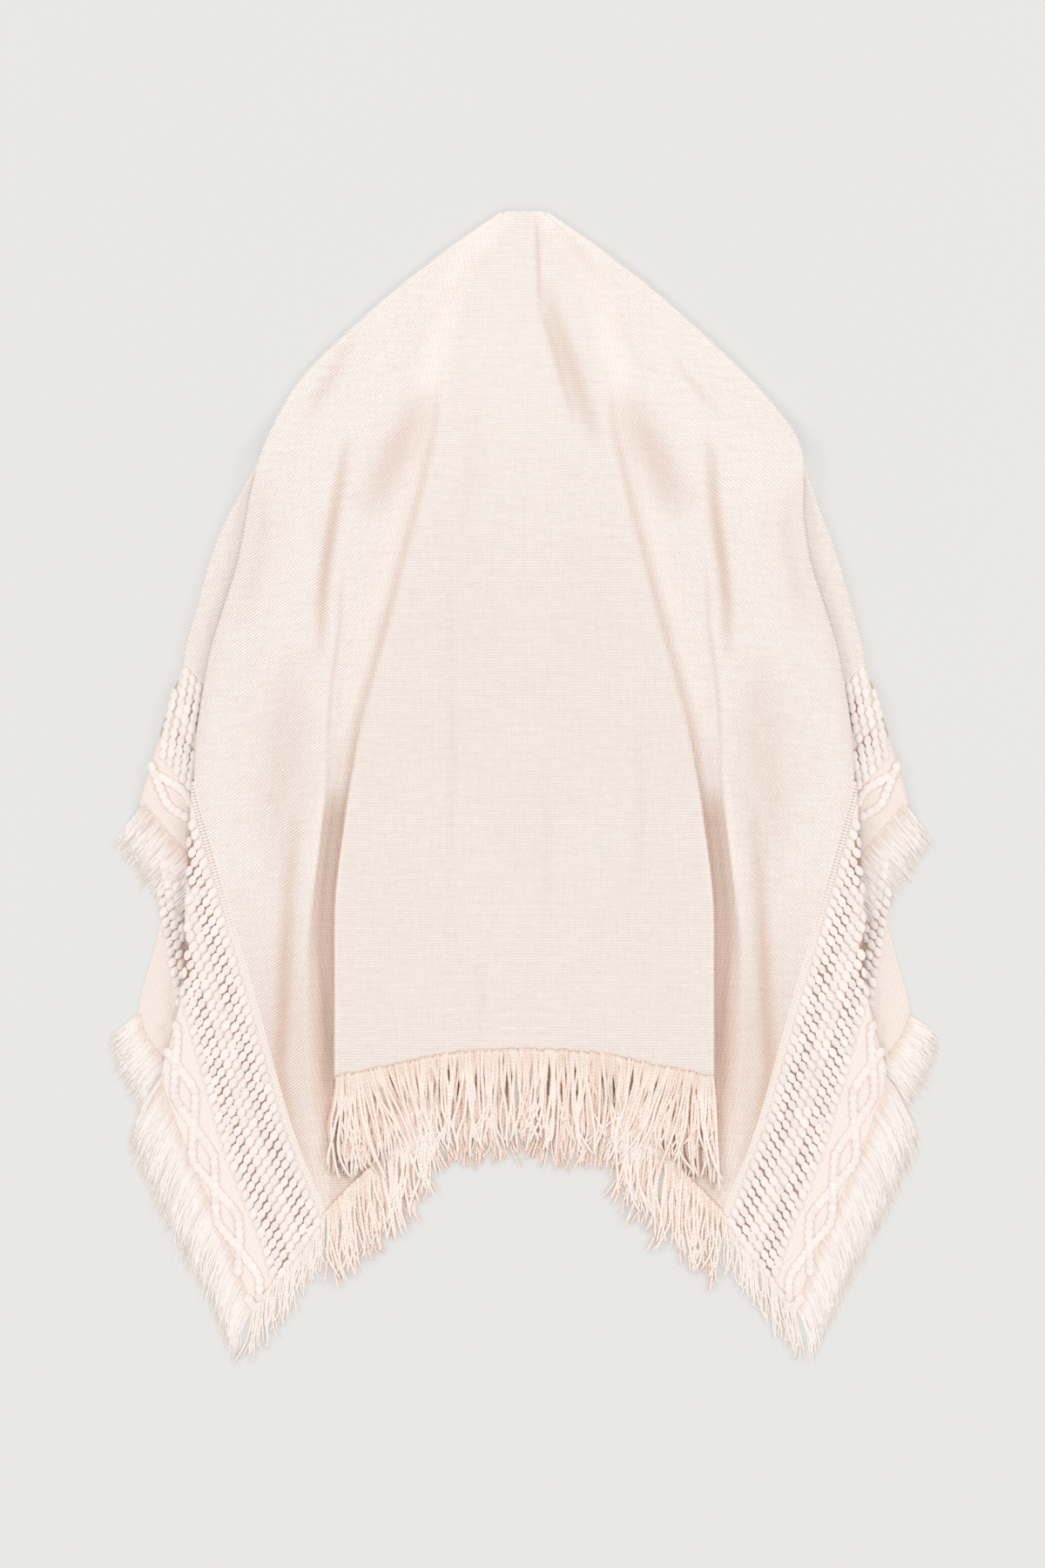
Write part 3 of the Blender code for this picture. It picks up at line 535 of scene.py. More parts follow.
# ---- creases and relief ----
def stroke(plan, line):
    """Distance from places in the plane to a line, and how far along the line they are."""
    line = np.array(line, dtype=float)
    before = lengths_along(line)
    nearest = np.full(plan.shape[:-1], np.inf)
    share = np.zeros(plan.shape[:-1])
    for index, run in enumerate(np.diff(line, axis=0)):
        along = np.clip(((plan - line[index]) @ run) / (run @ run), 0, 1)
        distance = np.linalg.norm(plan - line[index] - along[..., None] * run, axis=-1)
        closer = distance < nearest
        nearest = np.where(closer, distance, nearest)
        share = np.where(closer, toward(before[index], before[index + 1], along) / before[-1], share)
    return nearest, share


def crease_heights(plan, creases):
    """What a group of creases adds to the height and to the painted warm shade at places in the plane."""
    total = np.zeros(plan.shape[:-1])
    painted_shade = np.zeros(plan.shape[:-1])
    for line, width, height, shade_share in creases:
        distance, share = stroke(plan, line)
        shape = np.sin(math.pi * np.clip(share, 0, 1)) ** 0.7 * bell(distance, width)
        total += height * shape
        painted_shade += shade_share * shape
    return total, painted_shade


def unevenness(plan):
    """A slow, slight waviness of cloth that isn't pressed flat."""
    x, y = plan[..., 0], plan[..., 1]
    wave = 0.45 * np.sin(x / 31 + 0.4 * np.sin(y / 57)) * np.sin(y / 74 + 1.1)
    wave += 0.3 * np.sin(x / 17 - y / 43 + 0.7)
    return wave + 0.22 * np.sin(x / 11 + y / 90) * np.sin(y / 37)


def raise_relief(points):
    """Raise the folds above the lowest layers, keeping every layer's order."""
    points[..., 2] += np.maximum(points[..., 2] - RELIEF_FROM, 0) * (RELIEF - 1)


def lift(points, side):
    """Add the creases and the slow waviness to cloth that lies on top. Also gives the painted
    warm shade that the creases bring."""
    plan, height = points[..., :2], points[..., 2]
    change, painted_shade = crease_heights(plan, BOTH_CREASES + OWN_CREASES[side])
    waves = unevenness(plan + (0, WAVE_SHIFT[side]))
    strength = fade(plan[..., 1], 0, 14) * fade(height, 0.8, 4.8)
    lifted = points.copy()
    lifted[..., 2] = np.maximum(height + (change + waves) * strength, np.minimum(height, LEAST_HEIGHT))
    return lifted, painted_shade


def to_world(points, side):
    """Turn (out, down, height) into world places on one side, in millimetres."""
    out, down, height = np.moveaxis(np.asarray(points, dtype=float), -1, 0)
    if side == RIGHT:
        share = fade(out, FULLNESS_FROM, FULLNESS_TO)
        bulge = bell(down - SHOULDER_DOWN, SHOULDER_SPAN)
        out = out + SHOULDER_FULLNESS * bulge * share**2 * (3 - 2 * share)
    return np.stack([side * out, TOTAL_DROP / 2 - down, height], axis=-1)


# ---- meshes ----
SHARP_ANGLE = math.radians(55)  # faces that meet at more than this show their edge


def add_object(name, data):
    item = bpy.data.objects.new(name, data)
    bpy.context.scene.collection.objects.link(item)
    return item


def new_object(name, verts, faces, uv, material, extra):
    """A smooth mesh object from places in millimetres, with a UV pair and the extra numbers
    for each vertex. Nothing lies below the floor."""
    mesh = bpy.data.meshes.new(name)
    mesh.vertices.add(len(verts))
    places = np.array(verts, dtype=float)
    places[:, 2] = np.maximum(places[:, 2], FLOOR_CLEARANCE)
    mesh.vertices.foreach_set("co", (places * MM).ravel())
    mesh.loops.add(faces.size)
    mesh.loops.foreach_set("vertex_index", faces.ravel())
    mesh.polygons.add(len(faces))
    mesh.polygons.foreach_set("loop_start", np.arange(0, faces.size, faces.shape[1]))
    mesh.update(calc_edges=True)
    layer = mesh.uv_layers.new(name="cloth")
    layer.data.foreach_set("uv", (uv[faces.ravel()] * MM).ravel())
    for label, values in extra.items():
        attribute = mesh.attributes.new(label, "FLOAT", "POINT")
        attribute.data.foreach_set("value", values)
    mesh.materials.append(material)
    mesh.shade_smooth()
    mesh.set_sharp_from_angle(angle=SHARP_ANGLE)
    mesh.validate()
    return add_object(name, mesh)


def face_normals(points, keep):
    """Unit normals at a grid's corners, from the faces that are kept round each."""
    diagonal = points[1:, 1:] - points[:-1, :-1]
    other = points[1:, :-1] - points[:-1, 1:]
    faces = unit(np.cross(diagonal, other)) * keep[..., None]
    normals = np.zeros_like(points)
    for row in (slice(None, -1), slice(1, None)):
        for column in (slice(None, -1), slice(1, None)):
            normals[row, column] += faces
    return unit(normals)


def shell(name, points, keep, uv, material, extra):
    """A closed thin shell about a grid of places."""
    half = face_normals(points, keep) * CLOTH / 2
    verts = np.concatenate([(points + half).reshape(-1, 3), (points - half).reshape(-1, 3)])
    below = points[..., 0].size
    number = np.arange(below).reshape(points.shape[:2])
    a, b = number[:-1, :-1][keep], number[1:, :-1][keep]
    c, d = number[1:, 1:][keep], number[:-1, 1:][keep]
    upper = np.stack([a, d, c, b], axis=1)
    edges = np.concatenate([upper[:, (k, (k + 1) % 4)] for k in range(4)])
    forward = edges[:, 0].astype(np.int64) * below + edges[:, 1]
    back = edges[:, 1].astype(np.int64) * below + edges[:, 0]
    rim = edges[~np.isin(forward, back)]
    sides = np.stack([rim[:, 1], rim[:, 0], rim[:, 0] + below, rim[:, 1] + below], axis=1)
    faces = np.concatenate([upper, upper[:, ::-1] + below, sides])
    used, faces = np.unique(faces, return_inverse=True)
    both_uv = np.concatenate([uv.reshape(-1, 2)] * 2)[used]
    both = {label: np.concatenate([values.ravel()] * 2)[used] for label, values in extra.items()}
    return new_object(name, verts[used], faces.reshape(-1, 4), both_uv, material, both)


def tubes(name, paths, radii, sides, lobes, material, depth):
    """Many tubes as one mesh. paths is (tubes, points, 3), radii is (tubes, points), and
    lobes is how far the two plies wound round each other stand out. depth says how far under
    its neighbours each tube lies, from 0 to 1, which gives it painted shade. The mesh keeps it,
    and which side of a tube is its top, for the painted shade on its sides."""
    count, length = paths.shape[:2]
    along = unit(np.gradient(paths, axis=1))
    across = unit(np.cross(along, np.array([0.0, 0.0, 1.0])))
    above = np.cross(across, along)
    travelled = lengths_along(paths, axis=1)[..., None]
    angles = np.arange(sides) * 2 * math.pi / sides
    plies = 1 + lobes * np.cos(2 * angles - travelled * 2 * math.pi / CORD_PITCH)
    ring = across[:, :, None] * np.cos(angles)[:, None] + above[:, :, None] * np.sin(angles)[:, None]
    verts = (paths[:, :, None] + ring * (radii[..., None] * plies)[..., None]).reshape(-1, 3)
    number = np.arange(len(verts)).reshape(count, length, sides)
    after = np.roll(number, -1, axis=2)
    walls = np.stack([number[:, :-1], after[:, :-1], after[:, 1:], number[:, 1:]], axis=-1)
    faces = [walls.reshape(-1, 4)]
    for cap in (number[:, 0, ::-1], number[:, -1]):
        faces += [cap[:, (0, first, first + 1, first + 2)] for first in range(1, sides - 2, 2)]

    def at_each(values):
        return np.broadcast_to(values, number.shape).ravel()

    uv = np.stack([at_each(angles / (2 * math.pi) / MM), at_each(travelled)], axis=1)
    extra = {"depth": at_each(depth[:, None, None]), "top": at_each(np.sin(angles))}
    return new_object(name, verts, np.concatenate(faces), uv, material, extra)


def beads(name, places, material, sides):
    """Many oval beads as one mesh. Each place is a centre, three half-axes and their sizes."""
    centres, axes, sizes = (np.array(item) for item in zip(*places))
    across = np.linspace(0, math.pi, BEAD_RINGS + 1)[:, None]
    around = np.arange(sides) * 2 * math.pi / sides
    circle = np.sin(across) ** 0.8 + 0 * around
    narrowed = np.sin(around) * (1 - POINTEDNESS * np.cos(around) ** 2)
    ball = np.stack([circle * np.cos(around), circle * narrowed, np.cos(across) + 0 * around], axis=-1)
    scaled = ball[None] * sizes[:, None, None, :]
    verts = np.einsum("nrsk,nkx->nrsx", scaled, axes) + centres[:, None, None, :]
    number = np.arange(verts[..., 0].size).reshape(verts.shape[:3])
    after = np.roll(number, -1, axis=2)
    faces = np.stack([number[:, :-1], number[:, 1:], after[:, 1:], after[:, :-1]], axis=-1)
    uv = np.broadcast_to(ball[None, ..., :2] * 5, verts.shape[:3] + (2,)).reshape(-1, 2)
    top = np.broadcast_to(np.cos(across), verts.shape[:3]).ravel()
    return new_object(name, verts.reshape(-1, 3), faces.reshape(-1, 4), uv, material, {"top": top})


# ---- materials ----
class Value:
    """A node's output, which is added, taken away and multiplied as a number is."""

    def __init__(self, shader, socket):
        self.shader, self.socket = shader, socket

    def __add__(self, other):
        return self.shader.math("ADD", self, other)

    def __sub__(self, other):
        return self.shader.math("SUBTRACT", self, other)

    def __mul__(self, other):
        return self.shader.math("MULTIPLY", self, other)

    def __abs__(self):
        return self.shader.math("ABSOLUTE", self)


class Shader:
    """A node material, with short calls for the nodes used here."""

    def __init__(self, name, roughness, sheen=0.0, specular=0.2):
        self.material = bpy.data.materials.new(name)
        self.material.use_nodes = True
        self.tree = self.material.node_tree
        self.surface = self.tree.nodes["Principled BSDF"].inputs
        self.surface["Roughness"].default_value = roughness
        self.surface["Specular IOR Level"].default_value = specular
        self.surface["Sheen Weight"].default_value = sheen
        self.surface["Sheen Roughness"].default_value = 0.5

    def put(self, socket, value):
        """Set a socket, or link it where the value comes from another node."""
        if isinstance(value, Value):
            self.tree.links.new(value.socket, socket)
        else:
            socket.default_value = value

    def node(self, kind, inputs=None, output=0, **settings):
        """Make a node with these inputs and settings, and give one of its outputs."""
        item = self.tree.nodes.new("ShaderNode" + kind)
        for name, setting in settings.items():
            setattr(item, name, setting)
        for key, value in (inputs or {}).items():
            self.put(item.inputs[key], value)
        return Value(self, item.outputs[output])

    def math(self, operation, first, second=0.0):
        return self.node("Math", {0: first, 1: second}, operation=operation)

    def sine(self, value, pitch):
        return self.math("SINE", value * (2 * math.pi / pitch))

    def stripes(self, value, pitch):
        """A wave from 0 to 1 with the given pitch."""
        return self.sine(value, pitch) * 0.5 + 0.5

    def ramp(self, value, low, high, start=0.0, end=1.0):
        """A smooth step from start to end as value goes from low to high."""
        inputs = dict(enumerate((value, low, high, start, end)))
        return self.node("MapRange", inputs, interpolation_type="SMOOTHSTEP")

    def between(self, value, low, high, soft):
        """1 between low and high, falling to 0 over a soft edge."""
        rise = self.ramp(value, low - soft, low + soft)
        return rise * self.ramp(value, high - soft, high + soft, 1.0, 0.0)

    def mix(self, share, first, second, way="MIX"):
        """A mix of two colours."""
        inputs = {0: share, 6: first, 7: second}
        return self.node("Mix", inputs, 2, data_type="RGBA", blend_type=way)

    def blend(self, share, first, second):
        """A mix of two numbers."""
        return self.node("Mix", {0: share, 2: first, 3: second})

    def cloth_place(self):
        """The two cloth coordinates, in millimetres."""
        place = self.node("UVMap", uv_map="cloth")
        return [self.node("SeparateXYZ", {0: place}, axis) * (1 / MM) for axis in (0, 1)]

    def attribute(self, name):
        return self.node("Attribute", output="Fac", attribute_name=name)

    def island(self):
        """A number of its own for each bead or yarn."""
        return self.node("NewGeometry", output="Random Per Island")

    def noise(self, first, second, scale_first, scale_second):
        """Noise over two coordinates, each with a scale of its own."""
        place = self.node("CombineXYZ", {0: first * scale_first, 1: second * scale_second})
        return self.node("TexNoise", {"Scale": 1.0, "Detail": 2.0, "Vector": place})

    def plain_weave(self, across, along, pitch, picks=0.0):
        """Height of a plain weave, 1 on the yarns and 0 in the gaps at their corners. picks
        is the share by which the yarns that run across stand out."""
        warp, weft = self.sine(across, 2 * pitch), self.sine(along, 2 * pitch)
        weave = self.blend(warp * weft * 0.5 + 0.5, abs(weft), abs(warp))
        return self.blend(picks, weave, abs(weft))

    def warm_shaded(self, colour, share):
        """Painted warm, deeper shade where the cloth lies in the hollows of its folds or under other
        pieces.
        """
        return self.mix(self.attribute("painted_warm_shade") * share, colour, WARM_SHADE_COLOUR, "MULTIPLY")

    def finish(self, colour, height, depth):
        """Colour the surface, and raise it by up to depth where height is 1."""
        self.put(self.surface["Base Color"], colour)
        bump = self.node("Bump", {"Strength": 1.0, "Distance": depth * MM, "Height": height})
        self.put(self.surface["Normal"], bump)
        return self.material


CREAM = (0.868, 0.780, 0.712, 1.0)
PALE = (0.900, 0.830, 0.785, 1.0)
GAP = (0.790, 0.680, 0.610, 1.0)
SLANT_GAP = (0.700, 0.560, 0.490, 1.0)
# Painted shade: the weave's gaps where the cloth lies in the hollows of its folds.
WARM_SHADE_GAP = (0.560, 0.390, 0.300, 1.0)
# Painted shade: the ground between the bobbles, and the dark seen through the ladder row's holes.
DEEP_SHADE = (0.430, 0.270, 0.195, 1.0)
# Painted warm shade, laid over the cloth in the hollows of its folds.
WARM_SHADE_COLOUR = (0.790, 0.595, 0.500, 1.0)
CORD = (0.990, 0.915, 0.855, 1.0)
CORD_SHADE = (0.860, 0.480, 0.300, 1.0)
SILK = (0.935, 0.893, 0.868, 1.0)
SILK_SHADE = (0.820, 0.675, 0.590, 1.0)
KNOTTED = (0.975, 0.912, 0.872, 1.0)
KNOTTED_SHADE = (0.900, 0.730, 0.630, 1.0)
BORDER_GAP = (0.790, 0.670, 0.595, 1.0)
PLAIN_GAP = (0.640, 0.520, 0.455, 1.0)
RIBS = (0.915, 0.840, 0.790, 1.0)
WEAVE_PITCH = 2.7
WEAVE_WANDER = 2.6  # how far the yarns stray from straight lines
# On the drapes the cloth hangs askew: how the weft and warp places come from (out, down).
DRAPE_WEFT = (1.0, 0.316)
DRAPE_WARP = (-0.6, 0.863)
BORDER_WEAVE_PITCH = 2.5
RIB_PITCH = 2.7
RIB_ZONE = (73.5, 140.0)  # places out from the ladder row, as are the next two
BOBBLE_ZONES = ((16.5, 32.5), (49.5, 66.0))
LADDER_ROWS = ((1.2, 4.4), (5.8, 7.6))
LADDER_PITCH = 3.3
FIBRE_SCALE = 9 * MM


def woven_cloth():
    """The plain weave: level over the middle, askew on the drapes, with painted shade in its folds."""
    shader = Shader("woven_cream", roughness=0.92, sheen=0.25)
    out, down = shader.cloth_place()
    slanted, painted_warm_shade = shader.attribute("askew"), shader.attribute("painted_warm_shade")
    drift = (shader.noise(out, down, 0.16, 0.05) - 0.5) * WEAVE_WANDER
    sway = (shader.noise(out, down, 0.05, 0.16) - 0.5) * WEAVE_WANDER
    weft, warp = (out * first + down * second for first, second in (DRAPE_WEFT, DRAPE_WARP))
    level = shader.plain_weave(out + drift, down + sway, WEAVE_PITCH, 0.25)
    askew = shader.plain_weave(weft + drift, warp + sway, WEAVE_PITCH, 0.4)
    weave = shader.blend(slanted, level, askew)
    slubs = shader.noise(out, down, 0.9, 0.12) * 0.5 + shader.noise(down, out, 0.9, 0.12) * 0.5
    yarn = shader.mix(shader.ramp(slubs, 0.35, 0.65), CREAM, PALE)
    yarn = shader.mix(slanted * 0.8, yarn, KNOTTED)
    gap = shader.mix(slanted, GAP, SLANT_GAP)
    # painted shade: the gaps darken in the hollows of the folds
    gap = shader.mix(shader.ramp(painted_warm_shade, 0.04, 0.4), gap, WARM_SHADE_GAP)
    colour = shader.mix(shader.ramp(weave, 0.05, 0.6), gap, yarn)
    patches = shader.ramp(shader.noise(out, down, 0.011, 0.009), 0.35, 0.7, 0.0, 0.35)
    colour = shader.mix(patches, colour, PALE)
    for first, second in ((out, down), (down, out)):
        streaks = shader.ramp(shader.noise(first, second, 0.24, 0.03), 0.4, 0.75, 0.0, 0.16)
        colour = shader.mix(streaks, colour, GAP)
    colour = shader.mix(shader.ramp(down, 120.0, 420.0, 0.4, 0.0), colour, KNOTTED)
    # painted warm shade over the hollows of the folds
    return shader.finish(shader.warm_shaded(colour, 0.95), weave + slubs * 0.5, 0.75)


def border_cloth():
    """The ground of the border: ladder row, painted shade between the bobbles, beside the cables and in the
    folds, ribs and weave.
    """
    shader = Shader("border_ground", roughness=0.92, sheen=0.25)
    across, along = shader.cloth_place()
    cabled = shader.attribute("cabled")
    weave = shader.plain_weave(across, along, BORDER_WEAVE_PITCH)
    rib_zone = shader.between(across, *RIB_ZONE, 0.8) * cabled
    inner, outer = (shader.between(across, *zone, 2.5) for zone in BOBBLE_ZONES)
    bobble_shade_zone = (inner + outer) * shader.attribute("bobble_ground_shade")
    inner, outer = (shader.between(across, *row, 0.3) for row in LADDER_ROWS)
    slits = shader.ramp(shader.stripes(along, LADDER_PITCH), 0.65, 0.95)
    slits = slits * (inner + outer) * shader.attribute("ladder")
    uneven = shader.noise(across, along, 0.5, 0.5)
    yarn = shader.mix(shader.ramp(uneven, 0.3, 0.7), CREAM, PALE)
    plain = shader.mix(shader.ramp(weave, 0.1, 0.55), PLAIN_GAP, yarn)
    dots = shader.stripes(across, RIB_PITCH) * 0.8 + shader.stripes(along, 2.6) * 0.35
    ribbed = shader.mix(shader.ramp(dots, -0.3, 0.8), BORDER_GAP, RIBS)
    colour = shader.mix(rib_zone, plain, ribbed)
    # painted shade on the ground between the bobbles
    colour = shader.mix(bobble_shade_zone, colour, DEEP_SHADE)
    # the ladder row's holes are real, their dark is painted shade, fainter further down the border
    colour = shader.mix(slits * shader.ramp(along, 50.0, 190.0, 0.8, 0.16), colour, DEEP_SHADE)
    wave = shader.math("ARCSINE", shader.sine(along, CABLE_PITCH) * CABLE_SHARPNESS)
    wave = wave * (CABLE_SWING / math.asin(CABLE_SHARPNESS))
    # painted shade along both sides of each cable
    for way in (1.0, -1.0):
        apart = abs(across - (wave * way + CABLE_MIDDLE))
        shade = shader.ramp(apart, 4.4, 7.0, 0.7, 0.0) * cabled
        colour = shader.mix(shade, colour, KNOTTED_SHADE)
    height = shader.blend(rib_zone, weave * 0.5, dots) + slits * -0.1
    return shader.finish(shader.warm_shaded(colour, 1.0), height, 0.35)


def bobble_yarn():
    """The thick soft yarn of the bobbles and cables, with its fine plies. Their sides and the grooves
    between the plies take painted shade.
    """
    shader = Shader("bobble_yarn", roughness=0.88, sheen=0.3)
    across, along = shader.cloth_place()
    plies = shader.stripes(across + along * 0.6, 1.3)
    yarn = shader.mix(shader.island(), KNOTTED, PALE)
    side_shade = shader.ramp(shader.attribute("top"), -0.1, 0.5, 0.9, 0.0)
    side_shade = side_shade + shader.ramp(plies, 0.0, 0.55, 0.16, 0.0)
    colour = shader.mix(side_shade, yarn, KNOTTED_SHADE)
    return shader.finish(colour, plies + shader.noise(across, along, 1.2, 1.2), 0.2)


def twisted_cord(name, pitch, dark, depth):
    """Two plies wound round each other; cloth places are round and along the cord. Its sides, the
    grooves between its plies, its root and the cords lying lower take painted shade, warm rather than grey
    because the wool lets light through."""
    shader = Shader(name, roughness=0.85, sheen=0.8)
    around, along = shader.cloth_place()
    plies = shader.stripes(around * (2 * MM) + along * (1 / pitch), 1.0)
    side_shade = shader.ramp(shader.attribute("top"), -0.25, 0.75, 1.0, 0.0)
    side_shade = side_shade + shader.ramp(plies, 0.0, 0.5, 0.2, 0.0)
    side_shade = side_shade + shader.ramp(along, 4.0, 30.0, 0.08, 0.0)
    # painted shade, deeper on the cords that lie lower
    colour = shader.mix(side_shade + shader.attribute("depth"), CORD, dark)
    colour = shader.mix(shader.ramp(along, 60.0, 95.0, 0.0, 0.3), colour, SILK)
    return shader.finish(colour, plies + shader.noise(around, along, FIBRE_SCALE, 1.4), depth)


def silky_yarn():
    """Fine loose yarn with a soft gloss."""
    shader = Shader("silky_yarn", roughness=0.6, sheen=0.4)
    around, along = shader.cloth_place()
    # painted shade on the yarns that lie lower and near the root, with a random tone for each yarn
    shade = shader.island() * 0.6 + shader.attribute("depth") * 0.5
    shade = shade + shader.ramp(along, 2.0, 16.0, 0.25, 0.0)
    colour = shader.mix(shader.ramp(shade, 0.3, 1.05), SILK, SILK_SHADE)
    return shader.finish(colour, shader.noise(around, along, FIBRE_SCALE, 2.0), 0.1)


# ---- places on the finished shells ----
RAY_START = 0.08  # metres above the floor, higher than any cloth


class Ground:
    """The shells that things are laid on, asked for from above."""

    def __init__(self, shells):
        verts, faces = [], []
        self.owners = []
        for item in shells:
            first = len(verts)
            verts += [vertex.co.copy() for vertex in item.data.vertices]
            faces += [tuple(first + index for index in face.vertices) for face in item.data.polygons]
            self.owners += [item.name] * len(item.data.polygons)
        self.tree = BVHTree.FromPolygons(verts, faces)

    def under(self, x, y):
        """Height in millimetres, normal and piece of the highest cloth at a place, or None."""
        above = Vector((x * MM, y * MM, RAY_START))
        spot, normal, face, _ = self.tree.ray_cast(above, Vector((0, 0, -1)))
        if spot is None:
            return None
        return spot.z / MM, np.array(normal), self.owners[face]

    def heights(self, x, y):
        """Heights of the cloth in millimetres, 0 where there is none."""
        found = [self.under(*place) for place in zip(np.ravel(x), np.ravel(y))]
        return np.array([item[0] if item else 0.0 for item in found]).reshape(np.shape(x))


class Band:
    """Places on a border, by how far along it and how far out from its ladder row."""

    def __init__(self, ladder, row=None):
        self.start = np.array(ladder[0])
        self.along = unit(np.array(ladder[1]) - self.start)
        self.across = np.array([self.along[1], -self.along[0]])
        line = np.array(ladder if row is None else row) - self.start
        self.row = line @ self.along, line @ self.across

    def place(self, along, across):
        """The (out, down) place at a distance along the border and out from its row."""
        return self.start + self.along * along + self.across * (across + np.interp(along, *self.row))

    def read(self, plan):
        """How far out from the row and how far along the border places in the plane are."""
        along = (plan - self.start) @ self.along
        return (plan - self.start) @ self.across - np.interp(along, *self.row), along


BACK_BAND = Band(LADDER, BACK_TABLE[LADDER_START:, EDGE_COLUMN, :2])
STRIP_BAND = Band(STRIP_LADDER)
FRONT_BAND = Band(FRONT_LADDER)


# ---- bobbles and cables ----
class Beads:
    """Beads laid on the shells of one side."""

    def __init__(self, ground, side):
        self.ground, self.side = ground, side
        self.places = []

    def lay(self, shell_name, plan, direction, sizes):
        """Lay a bead where the named shell is the highest cloth: its centre, its three axes
        and their sizes."""
        x, y, _ = to_world(np.append(plan, 0.0), self.side)
        found = self.ground.under(x, y)
        if found is None or found[2] != shell_name or found[1][2] < STEEPEST:
            return
        height, normal, _ = found
        along = np.array([self.side * direction[0], -direction[1], 0.0])
        along = unit(along - normal * (along @ normal))
        axes = np.stack([along, np.cross(normal, along), normal])
        self.places.append((np.array([x, y, height]) + normal * BEAD_RISE, axes, np.array(sizes)))

    def add_bobbles(self, shell_name, band, lines, start, end):
        """Bobbles in slanting rows along a border."""
        for line, across in enumerate(lines):
            offset = -line * BOBBLE_SLANT
            first, last = int((start - offset) / BOBBLE_PITCH), int((end - offset) / BOBBLE_PITCH)
            for number in range(first, last):
                along = number * BOBBLE_PITCH + offset + rng.normal(0, 0.25)
                size = BOBBLE_SIZES[line % len(BOBBLE_SIZES)] * (1 + rng.normal(0, 0.03))
                turn = BOBBLE_TILT + rng.normal(0.0, 0.08)
                plan = band.place(along, across + rng.normal(0, 0.2))
                direction = band.along * math.cos(turn) + band.across * math.sin(turn)
                self.lay(shell_name, plan, direction, BOBBLE_HALF * size)

    def add_cables(self, shell_name, band, start, end):
        """Two cords of small beads that cross and open again along a border."""
        for phase in (-1, 1):
            along = start
            while along < end:
                turn = 2 * math.pi * along / CABLE_PITCH
                swing = math.asin(CABLE_SHARPNESS * math.sin(turn)) / math.asin(CABLE_SHARPNESS)
                slope = 0.9 * phase * CABLE_SWING * math.cos(turn) * 2 * math.pi / CABLE_PITCH
                plan = band.place(along, CABLE_MIDDLE + phase * CABLE_SWING * swing)
                direction = unit(band.along + band.across * slope)
                self.lay(shell_name, plan, direction, (6.1, 5.0, 2.2 + 0.5 * phase * math.cos(turn)))
                along += BEAD_STEP * direction @ band.along


def finish_piece(piece, nodes=()):
    """Tie a piece to the one body, and hide the solids it stands for."""
    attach(piece, "root")
    if nodes:
        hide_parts(*nodes)
    return piece


def decorate(ground, side, word, yarn):
    """The bobbles and cables of one side's border, on the back and on the strip."""
    back, strip = f"back_border_cloth_{word}", f"front_border_cloth_{word}"
    rounds, cables = Beads(ground, side), Beads(ground, side)
    rounds.add_bobbles(back, BACK_BAND, BOBBLE_LINES, *BACK_RUN)
    rounds.add_bobbles(strip, STRIP_BAND, STRIP_BOBBLE_LINES, *STRIP_RUN)
    rounds.add_bobbles(strip, FRONT_BAND, FRONT_BOBBLE_LINES, *FRONT_RUN)
    cables.add_cables(back, BACK_BAND, *BACK_RUN)
    cables.add_cables(strip, STRIP_BAND, *STRIP_RUN)
    pieces = [
        beads(f"border_bobbles_{word}", rounds.places, yarn, BOBBLE_SIDES),
        beads(f"border_cables_{word}", cables.places, yarn, CABLE_SIDES),
    ]
    return [finish_piece(piece).name for piece in pieces]


# ---- fringes ----
Fringe = namedtuple("Fringe", "name node count steps fall length swing wander clump layer radius spring")
Strand = namedtuple("Strand", "root uneven stray tip variation sides lobes")
DOWN = (0.0, 1.0)
STILL = ((0, 0), (1, 0))
CENTRE_SWING = (
    (0, -5), (0.1, -2), (0.35, 2), (0.52, -6), (0.66, -30), (0.8, -36), (0.88, -16), (0.94, 2), (1, 6),
)
# For each fringe: its name, the start of its pieces' names, its strands and the points of
# each, the fall at the root's two ends and the lengths there, the swing of the tips as a
# table of (share of the root, how far outward), the size of the strands' waves, how strongly
# neighbours gather, the range of heights over what lies below, the radius, and how far silky
# yarns first stand out square to the hem.
FRINGES = (
    Fringe("centre", "centre_fringe", 122, 31, (DOWN, DOWN), (92, 98), CENTRE_SWING, 4.2, 0.35,
           (0.8, 4.6), 1.8, 0.0),
    Fringe("pleat", "pleat_fringe", 30, 28, (DOWN, DOWN), (66, 70), ((0, -4), (1, -12)), 2.8, 0.4,
           (1.0, 3.4), 1.6, 0.0),
    Fringe("drape", "drape_fringe", 96, 29, ((-0.05, 1.0), (0.02, 1.0)), (92, 74),
           ((0, 8), (0.5, -6), (1, -4)), 3.8, 0.4, (0.3, 3.8), 1.7, 0.0),
    Fringe("band", "border_fringe", 66, 25, ((0.02, 1.0), (0.14, 1.0)), (52, 56), STILL, 2.2, 0.4,
           (0.1, 2.2), 1.2, 0.0),
    Fringe("front_hem", "front_hem_fringe", 112, 22, (DOWN, DOWN), (62, 76),
           ((0, -9), (0.12, -2), (0.3, 0), (1, 4)), 2.6, 0.25, (0.1, 2.4), 1.5, 0.0),
    Fringe("selvedge", "side_fringe", 1250, 11, ((0.30, 0.95), (0.04, 1.0)), (61, 47), STILL, 1.2, 0.3,
           (0.1, 1.8), 0.44, 14.0),
    Fringe("strip", "shoulder_fringe", 420, 10, ((0.6, 0.8), (0.7, 0.7)), (43, 47), STILL, 1.0, 0.2,
           (0.1, 1.6), 0.5, 5.0),
    Fringe("corner", "front_side_fringe", 360, 10, ((0.77, 0.63), (0.55, 0.83)), (30, 44), STILL, 1.0, 0.2,
           (0.1, 1.4), 0.48, 6.0),
)
